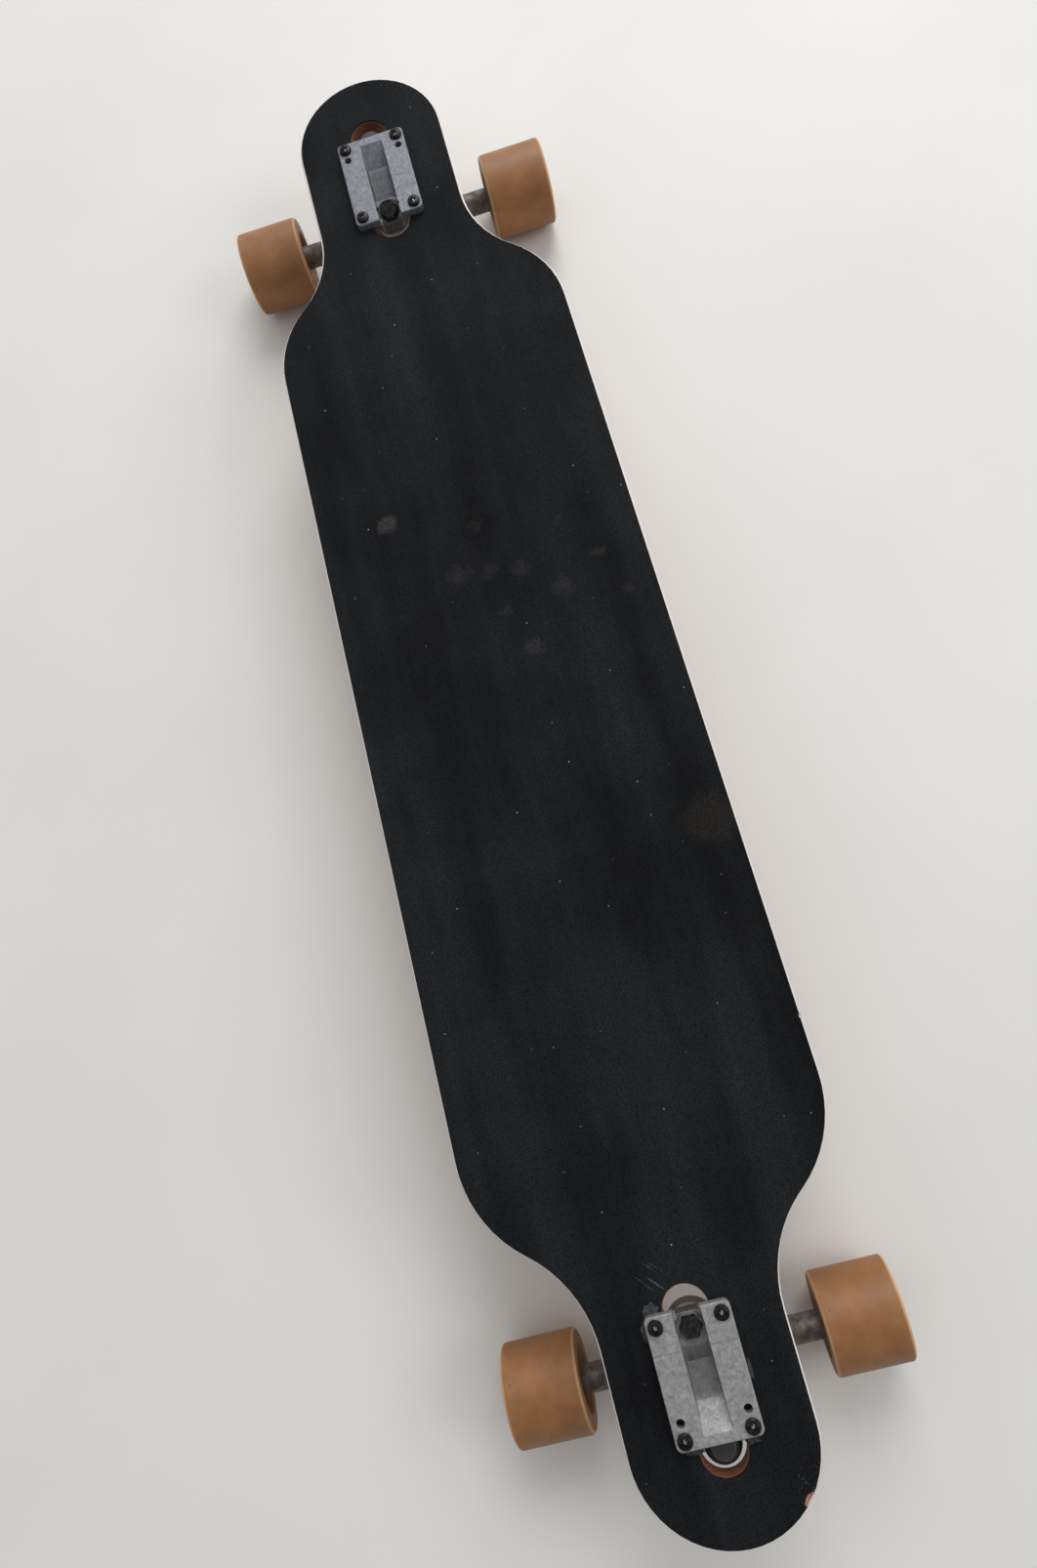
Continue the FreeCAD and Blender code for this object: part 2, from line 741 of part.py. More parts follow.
def hanger(end):
    """Cast hanger: bushing ring, round-nosed pivot, middle body and two axle arms."""
    name = f"{end}_hanger"
    ring_start = ring_depth - s.ring_half_thickness
    ring = cylinder(f"{name}_ring", s.ring_radius, 2 * s.ring_half_thickness, on_kingpin(ring_start))
    neck_reach = s.pivot_reach - s.nose_neck_back
    nose_length = neck_reach - s.nose_root_reach
    nose_place = on_steering(s.nose_root_reach)
    nose = cone(f"{name}_nose", s.nose_root_radius, s.pivot_radius, nose_length, nose_place)
    neck = cylinder(f"{name}_neck", s.pivot_radius, s.nose_neck_back, on_steering(neck_reach))
    tip = sphere(f"{name}_tip", s.pivot_radius, on_steering(s.pivot_reach))
    room = cup_washer_radius + s.washer_room
    foot = FOOT_SHARE * s.arm_root_radius
    body_points = [
        (room, 0),
        (NOSE_SHARE * s.pivot_reach, 0),
        (axle_along + foot, axle_below),
        (axle_along - foot, axle_below),
        (room, kingpin_end - ring_depth),
    ]
    body = slab(f"{name}_body", body_points, s.hanger_body_width)
    doc.recompute()
    softened = body.newObject("PartDesign::Fillet", f"{name}_body_edges")
    pad = softened.BaseFeature
    half_body = s.hanger_body_width / 2
    edges = edge_names(pad.Shape, lambda point: near(point.y, half_body))
    edges += edge_names(pad.Shape, lambda point: near(point.y, -half_body))
    softened.Base = (pad, edges)
    bind(softened, Radius=s.hanger_body_radius)
    lie = place(ring_x, 0, ring_z, axis=(0, 1, 0), angle=-s.steer_angle)
    body.Placement = lie.multiply(place(axis=(1, 0, 0), angle=180))
    arm_length = s.hanger_half_width - s.arm_end_taper
    arms = []
    for side in (1, -1):
        along = place(s.axle_outset, 0, -s.axle_drop, axis=(1, 0, 0), angle=-90 * side)
        beyond = along.multiply(place(z=arm_length))
        arms += [
            cylinder(f"{name}_arm_{side + 1}", s.arm_radius, arm_length, along),
            cone(f"{name}_root_{side + 1}", s.arm_root_radius, s.arm_radius, s.arm_root_reach, along),
            cone(f"{name}_end_{side + 1}", s.arm_radius, s.arm_end_radius, s.arm_end_taper, beyond),
        ]
    solid = fused(f"{name}_solid", [ring, nose, neck, tip, body] + arms)

    hole_length = 2 * (s.ring_half_thickness + s.overrun)
    hole_place = on_kingpin(ring_depth - hole_length / 2)
    hole = cylinder(f"{name}_ring_hole", s.ring_hole_radius, hole_length, hole_place)
    seat_radius = s.bushing_radius + s.bushing_seat_room
    board_web = ring_depth - s.ring_web_half
    road_web = ring_depth + s.ring_web_half
    ring_end = ring_depth + s.ring_half_thickness
    board_seat = cylinder(f"{name}_board_seat", seat_radius, s.overrun, on_kingpin(board_web - s.overrun))
    road_seat = cylinder(f"{name}_road_seat", seat_radius, kingpin_end - road_web, on_kingpin(road_web))
    nut_room = cylinder(f"{name}_nut_room", room, kingpin_end - ring_end, on_kingpin(ring_end))
    socket = cylinder(f"{name}_socket_room", s.socket_radius, s.axle_drop, on_kingpin(kingpin_end))
    bore_place = place(s.axle_outset, -s.hanger_half_width, -s.axle_drop, axis=(1, 0, 0), angle=-90)
    bore = cylinder(f"{name}_axle_bore", s.axle_radius, 2 * s.hanger_half_width, bore_place)
    hollows = fused(f"{name}_hollows", [hole, board_seat, road_seat, nut_room, socket, bore])
    return cut(name, solid, hollows)


# Stack on each axle end, measured outward from the hanger's face
inner_bearing = s.speed_washer_thickness
outer_bearing = inner_bearing + s.bearing_width + s.spacer_length
stack_end = outer_bearing + s.bearing_width
nut_start = stack_end + s.speed_washer_thickness
axle_half_length = s.hanger_half_width + nut_start + s.axle_nut_height + s.axle_tip


def axle(end):
    length = place(s.axle_outset, -axle_half_length, -s.axle_drop, axis=(1, 0, 0), angle=-90)
    return cylinder(f"{end}_axle", s.axle_radius, 2 * axle_half_length, length)


def settle(item, truck):
    """Moves a piece made in the truck's frame to its place on the board."""
    item.Placement = truck.multiply(item.Placement)
    return keep(item)


for end, truck in trucks.items():
    settle(baseplate(end), truck)
    settle(pivot_cup(end), truck)
    settle(kingpin(end), truck)
    bushings = (
        ("boardside", s.board_bushing_height, s.bushing_radius, s.boss_thickness + s.cup_washer_thickness),
        ("roadside", s.road_bushing_height, s.road_bushing_tip_radius, ring_depth + s.ring_web_half),
    )
    for seat, height, tip_radius, depth in bushings:
        settle(bushing(f"{end}_{seat}_bushing", height, tip_radius, depth), truck)
    settle(cup_washers(end), truck)
    nut_sizes = (s.kingpin_head_flats, s.kingpin_radius, s.kingpin_nut_height)
    settle(hex_nut(f"{end}_kingpin_nut", *nut_sizes, on_kingpin(nut_depth)), truck)
    settle(hanger(end), truck)
    settle(axle(end), truck)


def wheel(label, where):
    """Urethane wheel with square lips, recessed faces and two bearing seats about a web."""
    inner_face = -s.wheel_lap
    outer_face = s.wheel_width - s.wheel_lap
    lead = s.bearing_radius + s.bearing_shoulder
    inner_lead = inner_bearing - s.bearing_shoulder
    outer_lead = stack_end + s.bearing_shoulder
    points = [
        (s.wheel_web_radius, inner_bearing + s.bearing_width),
        (s.bearing_radius, inner_bearing + s.bearing_width),
        (s.bearing_radius, inner_bearing),
        (lead, inner_lead),
        (s.wheel_floor_radius, inner_lead - s.wheel_floor_step),
        (s.wheel_opening_radius, inner_face),
        (s.wheel_radius, inner_face),
        (s.wheel_radius, outer_face),
        (s.wheel_opening_radius, outer_face),
        (s.wheel_floor_radius, outer_lead + s.wheel_floor_step),
        (lead, outer_lead),
        (s.bearing_radius, stack_end),
        (s.bearing_radius, outer_bearing),
        (s.wheel_web_radius, outer_bearing),
    ]
    body = turned(label, points, where)
    doc.recompute()
    tread = body.Tip
    rims = []
    for number, edge in enumerate(tread.Shape.Edges, start=1):
        if edge.Curve.TypeId == "Part::GeomCircle" and near(edge.Curve.Radius, s.wheel_radius):
            rims.append(f"Edge{number}")
    lips = body.newObject("PartDesign::Fillet", f"{label}_lips")
    lips.Base = (tread, rims)
    bind(lips, Radius=s.wheel_lip_radius)
    return body


def bearing_rings(label, where):
    """Outer and inner race, shields and caged balls of one bearing, from its inner face."""
    middle = s.bearing_width / 2
    track = (s.ball_radius + s.groove_fit, s.ball_circle_radius, middle)
    ledge = s.shield_setback + s.shield_thickness
    outer_points = [
        (s.outer_land_radius, ledge),
        (s.shield_radius, ledge),
        (s.shield_radius, 0),
        (s.bearing_radius, 0),
        (s.bearing_radius, s.bearing_width),
        (s.shield_radius, s.bearing_width),
        (s.shield_radius, s.bearing_width - ledge),
        (s.outer_land_radius, s.bearing_width - ledge),
    ]
    outer = turned(f"{label}_outer", outer_points, where, track)
    bore = s.axle_radius + s.bearing_bore_fit
    inner_points = ring_points(bore, s.inner_land_radius, 0, s.bearing_width)
    inner = turned(f"{label}_inner", inner_points, where, track)
    shields = []
    for face, low in (("a", s.shield_setback), ("b", s.bearing_width - ledge)):
        points = ring_points(s.shield_hole_radius, s.shield_radius, low, low + s.shield_thickness)
        shields.append(turned(f"{label}_shield_{face}", points, where))
    half_wall = s.cage_wall / 2
    cage_points = ring_points(
        s.ball_circle_radius - half_wall,
        s.ball_circle_radius + half_wall,
        middle - s.cage_half_width,
        middle + s.cage_half_width,
    )
    blank = turned(f"{label}_cage_blank", cage_points, where)
    balls = []
    pockets = []
    pocket_radius = s.ball_radius + s.cage_pocket_fit
    for number in range(BALL_COUNT):
        ray = where.multiply(place(z=middle, angle=360 * number / BALL_COUNT))
        ball_place = ray.multiply(place(s.ball_circle_radius))
        balls.append(sphere(f"{label}_ball_{number}", s.ball_radius, ball_place))
        pocket_place = ray.multiply(place(s.inner_land_radius, axis=(0, 1, 0), angle=90))
        pocket_depth = s.outer_land_radius - s.inner_land_radius
        pockets.append(cylinder(f"{label}_pocket_{number}", pocket_radius, pocket_depth, pocket_place))
    cage = cut(f"{label}_cage", blank, group(f"{label}_pockets", pockets))
    return {
        "outer_races": [outer],
        "inner_races": [inner],
        "shields": shields,
        "balls": balls,
        "cages": [cage],
    }


for end, truck in trucks.items():
    for side in (1, -1):
        hand = "left" if (side == 1) == (end == "front") else "right"
        corner = f"{end}_{hand}"
        arm_end = side * s.hanger_half_width
        face = place(s.axle_outset, arm_end, -s.axle_drop, axis=(1, 0, 0), angle=-90 * side)
        face = truck.multiply(face)
        keep(wheel(f"{corner}_wheel", face))
        bearings = {}
        for position, start in (("inboard", inner_bearing), ("outboard", outer_bearing)):
            rings = bearing_rings(f"{corner}_{position}", face.multiply(place(z=start)))
            for kind, pieces in rings.items():
                bearings.setdefault(kind, []).extend(pieces)
        for kind, pieces in bearings.items():
            keep(group(f"{corner}_bearing_{kind}", pieces))
        bore = s.axle_radius + s.bearing_bore_fit
        spacer_place = face.multiply(place(z=inner_bearing + s.bearing_width))
        spacer_points = ring_points(bore, s.spacer_radius, 0, s.spacer_length)
        keep(turned(f"{corner}_bearing_spacer", spacer_points, spacer_place))
        washer_points = ring_points(bore, s.speed_washer_radius, 0, s.speed_washer_thickness)
        washers = [
            turned(f"{corner}_washer_{position}", washer_points, face.multiply(place(z=start)))
            for position, start in (("inboard", 0), ("outboard", stack_end))
        ]
        keep(group(f"{corner}_speed_washers", washers))
        nut_sizes = (s.axle_nut_flats, s.axle_radius, s.axle_nut_height)
        keep(hex_nut(f"{corner}_axle_nut", *nut_sizes, face.multiply(place(z=nut_start))))

# Mounting bolts down through plate, grip and deck, with lock nuts under the deck
bolts = []
bolt_nuts = []
bolt_reach = plate_top - deck_bottom + s.bolt_nut_height + s.bolt_tip
for end, truck in trucks.items():
    for number, (out, side) in enumerate(bolt_places):
        head = truck.multiply(place(out, side))
        points = [
            (0, -bolt_reach),
            (s.bolt_radius, -bolt_reach),
            (s.bolt_radius, 0),
            (s.bolt_head_radius, 0),
            (s.bolt_head_radius, s.bolt_head_height * (1 - DOME_SHARE)),
            (s.bolt_head_radius * DOME_SHARE, s.bolt_head_height),
            (0, s.bolt_head_height),
        ]
        bolts.append(turned(f"{end}_bolt_{number}", points, head))
        under = head.multiply(place(z=deck_bottom - plate_top - s.bolt_nut_height))
        nut_sizes = (s.bolt_nut_flats, s.bolt_radius, s.bolt_nut_height)
        bolt_nuts.append(hex_nut(f"{end}_bolt_nut_{number}", *nut_sizes, under))
keep(group("mounting_bolts", bolts))
keep(group("mounting_nuts", bolt_nuts))

doc.recompute()
for item in doc.Objects:
    if {"Invalid", "Error"} & set(item.State):
        raise RuntimeError(f"{item.Label} failed: {item.State}")
for node in nodes:
    if node.Shape.isNull() or not node.Shape.isValid():
        raise RuntimeError(f"{node.Label} has no valid shape")
os.makedirs("parts", exist_ok=True)
for node in nodes:
    node.Shape.exportStep(f"parts/{node.Label}.step")
    print(f"{node.Label}: {len(node.Shape.Solids)} solids, {node.Shape.Volume:.1f} mm3")
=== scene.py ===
import json
import math

import bmesh
import bpy
import numpy as np
from mathutils import Matrix, Quaternion, Vector


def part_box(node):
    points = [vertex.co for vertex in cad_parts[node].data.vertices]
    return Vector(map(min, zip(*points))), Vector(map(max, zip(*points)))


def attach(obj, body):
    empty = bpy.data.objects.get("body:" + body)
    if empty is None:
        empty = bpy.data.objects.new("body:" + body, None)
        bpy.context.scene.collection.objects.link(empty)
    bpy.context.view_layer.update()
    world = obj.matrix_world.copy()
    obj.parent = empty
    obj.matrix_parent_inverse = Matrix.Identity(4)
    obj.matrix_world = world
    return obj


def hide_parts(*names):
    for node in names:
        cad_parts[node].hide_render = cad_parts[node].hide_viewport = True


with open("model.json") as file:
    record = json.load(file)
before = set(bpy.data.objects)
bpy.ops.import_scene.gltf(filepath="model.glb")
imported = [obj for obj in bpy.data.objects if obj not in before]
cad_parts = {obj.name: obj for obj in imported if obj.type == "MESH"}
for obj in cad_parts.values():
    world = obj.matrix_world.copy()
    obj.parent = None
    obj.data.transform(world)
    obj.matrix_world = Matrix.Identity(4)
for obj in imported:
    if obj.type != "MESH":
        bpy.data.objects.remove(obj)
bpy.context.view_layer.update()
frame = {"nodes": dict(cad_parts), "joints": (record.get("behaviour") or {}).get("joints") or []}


# Deck: seven plies of hard maple pressed flat under heat, cut to a double cutaway outline and
# slotted at both ends for the trucks. The underside is clear lacquered, the sanded edge shows
# the plies, the slots are sealed red-brown, and the rim has been chipped by knocks.
MM = 0.001
scene = bpy.context.scene
nodes = frame["nodes"]
deck_low, deck_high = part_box("deck")
PLY_COUNT = 7
PLY = (deck_high.z - deck_low.z) / PLY_COUNT / MM
SLOT_HALF_WIDTH = 17
DRILLED_HALF_WIDTH = 28
SLOT_START = 380
SLOT_END = 505
RIM_ROUNDING = 1.1 * MM
# Profile of the sanded rim: shares of the rounding below the face and drawn in from the edge
RIM_PROFILE = [(0, 1), (0.3, 0.3), (1, 0)]
WELD_DISTANCE = 0.002 * MM
MERGE_DISTANCE = 0.001 * MM
SAME_HEIGHT = 0.01 * MM
# Filed rim and stained chip: depths and the chip's reach in millimetres; the filed rim's white is
# also a painted highlight
PALE_RIM_DEPTH = 1.6
STAIN_DEPTH = 3.2
STAIN_REACH = 10
# Chips in the rim: place along and across the board, length, width and depth, in millimetres
CHIPS = [
    (517.5, 42.5, 11, 8, 2.6),
    (79, 117.5, 8, 3, 1.6),
    (306, 120.5, 9, 4, 2.2),
    (323, 119, 6, 3, 1.6),
    (251, 118.5, 5, 2, 1.4),
    (303, -118.5, 5, 3, 1.6),
    (-93, 116, 5, 2, 1.4),
]
# Past this place along the board, the rim turns round the tip
CHIP_TIP_CENTRE = 477
CHIP_ROUGHNESS = 0.3
CHIP_SEED = 5
DECK_CHIP_SCALE = 0.9


def linear(code):
    """An sRGB hex colour as linear red, green, blue and alpha."""
    parts = [int(code[i:i + 2], 16) / 255 for i in (1, 3, 5)]
    return [p / 12.92 if p <= 0.04045 else ((p + 0.055) / 1.055) ** 2.4 for p in parts] + [1.0]


def add(tree, kind, sockets=None, out=0, **settings):
    """Adds a node with its settings, feeds its sockets, and gives back one of its outputs.

    The kind is short for a ShaderNode and whole for another node. A text with # is a colour.
    """
    node = tree.nodes.new(kind if "Node" in kind else f"ShaderNode{kind}")
    for name, value in settings.items():
        setattr(node, name, value)
    for key, value in (sockets or {}).items():
        if isinstance(value, bpy.types.NodeSocket):
            tree.links.new(value, node.inputs[key])
        else:
            is_colour = isinstance(value, str) and value.startswith("#")
            node.inputs[key].default_value = linear(value) if is_colour else value
    return node.outputs[out] if node.outputs else node


def new_finish(name, centre=(0, 0, 0)):
    """An empty material, with its Object coordinates in millimetres from a centre in metres."""
    material = bpy.data.materials.new(name)
    material.use_nodes = True
    tree = material.node_tree
    tree.nodes.clear()
    spot = add(tree, "TexCoord", out="Object")
    spot = add(tree, "VectorMath", {0: spot, 1: centre}, operation="SUBTRACT")
    return material, tree, add(tree, "VectorMath", {0: spot, "Scale": 1 / MM}, operation="SCALE")


def two_tones(tree, pattern, low, high, dark, pale):
    """A colour that goes from dark to pale as a pattern goes from low to high."""
    share = add(tree, "MapRange", {0: pattern, 1: low, 2: high})
    return add(tree, "Mix", {0: share, 6: dark, 7: pale}, 2, data_type="RGBA")


def near_place(tree, spot, x, y, inner, outer, strength=1):
    """How near a spot is to a place: full strength up to the inner radius, none past the outer."""
    away = add(tree, "VectorMath", {0: spot, 1: (x, y, 0)}, "Value", operation="DISTANCE")
    return add(tree, "MapRange", {0: away, 1: inner, 2: outer, 3: strength, 4: 0})


def maple_plywood():
    """Maple plywood: long fine figure on the face, pale plies and glue lines on the edge."""
    material, tree, spot = new_finish("lacquered_maple_plywood", (0, 0, deck_low.z))
    x, y, z = add(tree, "SeparateXYZ", {0: spot}).node.outputs
    # Veneer: figure 9 mm wide and pores 1.2 mm wide, both drawn out sixty times along the board
    along = add(tree, "Mapping", {"Vector": spot, "Scale": (1 / 60, 1, 1)})
    figure = add(tree, "TexNoise", {
        "Vector": along, "Scale": 1 / 9, "Detail": 5, "Distortion": 0.6})
    pores = add(tree, "TexNoise", {"Vector": along, "Scale": 1 / 1.2, "Detail": 3})
    veneer = two_tones(tree, figure, 0.36, 0.66, "#a77b52", "#cda679")
    share = add(tree, "MapRange", {0: pores, 1: 0.55, 2: 0.72, 3: 0, 4: 0.35})
    veneer = add(tree, "Mix", {0: share, 6: veneer, 7: "#7a5030"}, 2, data_type="RGBA")
    # Edge: every second ply runs crosswise and looks darker, with a thin glue line between two
    level = add(tree, "Math", {0: z, 1: PLY}, operation="DIVIDE")
    pair = add(tree, "Math", {0: level, 1: 2}, operation="MODULO")
    crosswise = add(tree, "Math", {0: pair, 1: 1}, operation="GREATER_THAN")
    step = add(tree, "Math", {0: level, 1: 1}, operation="MODULO")
    glue = add(tree, "MapRange", {0: step, 1: 0, 2: 0.12, 3: 0.7, 4: 0})
    fibre = add(tree, "TexNoise", {"Vector": spot, "Scale": 1 / 0.8, "Detail": 4})
    # The topmost millimetre is painted white: the wood filed bare when the tape was trimmed, and a
    # painted highlight along the rounded top edge
    thickness = PLY_COUNT * PLY
    filed_and_highlit = add(tree, "MapRange", {
        0: z, 1: thickness - PALE_RIM_DEPTH, 2: thickness - PALE_RIM_DEPTH / 2, 3: 0, 4: 0.8})
    # Chips break down to the red-brown veneer under the tape
    big_x, big_y = CHIPS[0][:2]
    flat = add(tree, "VectorMath", {0: spot, 1: (1, 1, 0)}, operation="MULTIPLY")
    broken = near_place(tree, flat, big_x, big_y, 0.8 * STAIN_REACH, STAIN_REACH, 0.9)
    shallow = add(tree, "MapRange", {
        0: z, 1: thickness - STAIN_DEPTH, 2: thickness - 0.75 * STAIN_DEPTH})
    broken = add(tree, "Math", {0: broken, 1: shallow}, operation="MULTIPLY")
    edge = add(tree, "Mix", {0: crosswise, 6: "#e6d6ca", 7: "#cbae9d"}, 2, data_type="RGBA")
    for share, code in ((glue, "#82604f"), (filed_and_highlit, "#f4ece5"), (broken, "#ad7562")):
        edge = add(tree, "Mix", {0: share, 6: edge, 7: code}, 2, data_type="RGBA")
    # Sealed slots: a band along the middle of each end, with the drilled holes beside it painted
    # near black as painted shade inside them
    wide = add(tree, "Math", {0: y}, operation="ABSOLUTE")
    far = add(tree, "Math", {0: x}, operation="ABSOLUTE")
    sealed = add(tree, "Math", {0: wide, 1: DRILLED_HALF_WIDTH}, operation="LESS_THAN")
    painted_hole_shade = add(tree, "Math", {0: wide, 1: SLOT_HALF_WIDTH}, operation="GREATER_THAN")
    past = add(tree, "Math", {0: far, 1: SLOT_START}, operation="GREATER_THAN")
    before = add(tree, "Math", {0: far, 1: SLOT_END}, operation="LESS_THAN")
    for limit in (past, before):
        sealed = add(tree, "Math", {0: sealed, 1: limit}, operation="MULTIPLY")
    # Red-brown is the slots' real stain; the near-black of the drilled holes is painted shade
    slot_stain_and_hole_shade = add(tree, "Mix", {0: painted_hole_shade, 6: "#7d4930", 7: "#1b120c"}, 2, data_type="RGBA")
    edge = add(tree, "Mix", {0: sealed, 6: edge, 7: slot_stain_and_hole_shade}, 2, data_type="RGBA")
    shade = add(tree, "MapRange", {0: fibre, 1: 0.3, 2: 0.7, 3: 0.8, 4: 1.08})
    edge = add(tree, "VectorMath", {0: edge, "Scale": shade}, operation="SCALE")
    # Only the underside shows the veneer: the strip of top left beside the tape was filed bare
    normal = add(tree, "NewGeometry", out="Normal")
    upright = add(tree, "SeparateXYZ", {0: normal}, 2)
    under = add(tree, "MapRange", {0: upright, 1: -0.9, 2: -0.98})
    colour = add(tree, "Mix", {0: under, 6: edge, 7: veneer}, 2, data_type="RGBA")
    rough = add(tree, "MapRange", {0: under, 3: 0.62, 4: 0.32})
    relief = add(tree, "Bump", {"Strength": 0.25, "Distance": 0.2 * MM, "Height": fibre})
    shader = add(tree, "BsdfPrincipled", {
        "Base Color": colour, "Roughness": rough, "Normal": relief, "IOR": 1.5})
    add(tree, "OutputMaterial", {"Surface": shader})
    return material


def finished_piece(name, mesh, material, body, slot, *replaced):
    """A piece at the origin that rides on a body and stands for the nodes named last."""
    piece = bpy.data.objects.new(name, mesh)
    scene.collection.objects.link(piece)
    mesh.materials.clear()
    mesh.materials.append(material)
    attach(piece, body)
    if replaced:
        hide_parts(*replaced)


def as_mesh(name, shape):
    """Turns an edited shape into a mesh."""
    mesh = bpy.data.meshes.new(name)
    shape.to_mesh(mesh)
    shape.free()
    return mesh


def welded_copy(node_name):
    """A copy of a node's mesh with its loose triangles merged."""
    shape = bmesh.new()
    shape.from_mesh(nodes[node_name].data)
    bmesh.ops.remove_doubles(shape, verts=shape.verts, dist=WELD_DISTANCE)
    return as_mesh(f"{node_name}_welded", shape)


def drawn_in(mesh, rings, front_share=1.0):
    """Moves rings of the outer outline inward; each ring is a height and a distance in metres.

    The distance shrinks evenly along the board, to front_share of itself at the front tip.
    """
    shape = bmesh.new()
    shape.from_mesh(mesh)
    for height, distance in rings:
        everything = shape.verts[:] + shape.edges[:] + shape.faces[:]
        bmesh.ops.bisect_plane(shape, geom=everything, dist=MERGE_DISTANCE,
                               plane_co=(0, 0, height), plane_no=(0, 0, 1))
    shape.normal_update()
    moves = []
    for vertex in shape.verts:
        x, y, z = vertex.co
        inside = abs(x) < SLOT_END * MM and abs(y) < DRILLED_HALF_WIDTH * MM
        for height, distance in rings:
            if not inside and abs(z - height) < SAME_HEIGHT:
                walls = [face.normal for face in vertex.link_faces if abs(face.normal.z) < 0.5]
                along = (x - deck_low.x) / (deck_high.x - deck_low.x)
                share = 1 + (front_share - 1) * along
                moves.append((vertex, sum(walls, Vector()).normalized() * distance * share))
    for vertex, move in moves:
        vertex.co -= move
    return as_mesh("drawn_in", shape)


def carved(base, tools):
    """The base mesh cut by the tool meshes one after another, with corners that coincide merged."""
    holders = []
    for mesh in [base] + tools:
        holder = bpy.data.objects.new("carving", mesh)
        scene.collection.objects.link(holder)
        holders.append(holder)
    for tool in holders[1:]:
        step = holders[0].modifiers.new("cut", "BOOLEAN")
        step.operation = "DIFFERENCE"
        step.object = tool
        step.solver = "EXACT"
    graph = bpy.context.evaluated_depsgraph_get()
    mesh = bpy.data.meshes.new_from_object(holders[0].evaluated_get(graph))
    for holder in holders:
        bpy.data.objects.remove(holder)
    shape = bmesh.new()
    shape.from_mesh(mesh)
    bmesh.ops.remove_doubles(shape, verts=shape.verts, dist=MERGE_DISTANCE)
    return as_mesh("carved", shape)


def chip_tools(scale):
    """Ragged lumps that are cut out of the rim, each lying along it."""
    draw = np.random.default_rng(CHIP_SEED)
    tools = []
    for x, y, length, width, depth in CHIPS:
        lump = bmesh.new()
        bmesh.ops.create_icosphere(lump, subdivisions=3, radius=1)
        for vertex in lump.verts:
            vertex.co *= 1 + CHIP_ROUGHNESS * (draw.random() - 0.5)
        past_tip = max(abs(x) - CHIP_TIP_CENTRE, 0) * math.copysign(1, x)
        heading = math.atan2(y, past_tip) + math.pi / 2
        size = Matrix.Diagonal((scale * length / 2 * MM, scale * width / 2 * MM, depth * MM, 1))
        spot = Matrix.Translation((x * MM, y * MM, deck_high.z))
        lump.transform(spot @ Matrix.Rotation(heading, 4, "Z") @ size)
        tools.append(as_mesh("chip", lump))
    return tools


rim_rings = [
    (face_height + inward * drop * RIM_ROUNDING, draw * RIM_ROUNDING)
    for face_height, inward in ((deck_high.z, -1), (deck_low.z, 1))
    for drop, draw in RIM_PROFILE
]
rounded_deck = drawn_in(welded_copy("deck"), rim_rings)
worn_deck = carved(rounded_deck, chip_tools(DECK_CHIP_SCALE))
finished_piece("worn_deck", worn_deck, maple_plywood(), "board", "maple_ply", "deck")


# Grip tape: black silicon-carbide paper stuck over the whole top and cut at the rim.
# Shoes have polished it in lengthwise bands and left pale scuffs, a brown rubbed patch,
# scratches and dust, and it is torn away where the rim is chipped.
# Scuffs: place along and across the board, radius in millimetres, and strength
SCUFFS = [
    (-156, -61, 9, 0.8),
    (-134, 1, 6, 0.22),
    (-101, -20, 10, 0.3),
    (-98, 3, 7, 0.32),
    (-93, 24, 8, 0.32),
    (-72, 48, 9, 0.34),
    (-66, 7, 6, 0.3),
    (-33, 18, 8, 0.42),
    (-89, 80, 6, 0.36),
    (-56, 92, 5, 0.3),
    (-121, 59, 5, 0.24),
]
# Rubbed, scratched and dusted places: the same, with the share of the radius that is full last
WORN_PLACES = [(115, 101, 21, 0.55), (383, -15, 15, 0.2), (507, 47, 13, 0.3)]
SCUFF_CORE = 0.4
WANDER = 16
DUST_CELL = 26
TAPE_SETBACK = 1.1 * MM
TAPE_FRONT_SHARE = 0.2
TAPE_CHIP_SCALE = 1.15


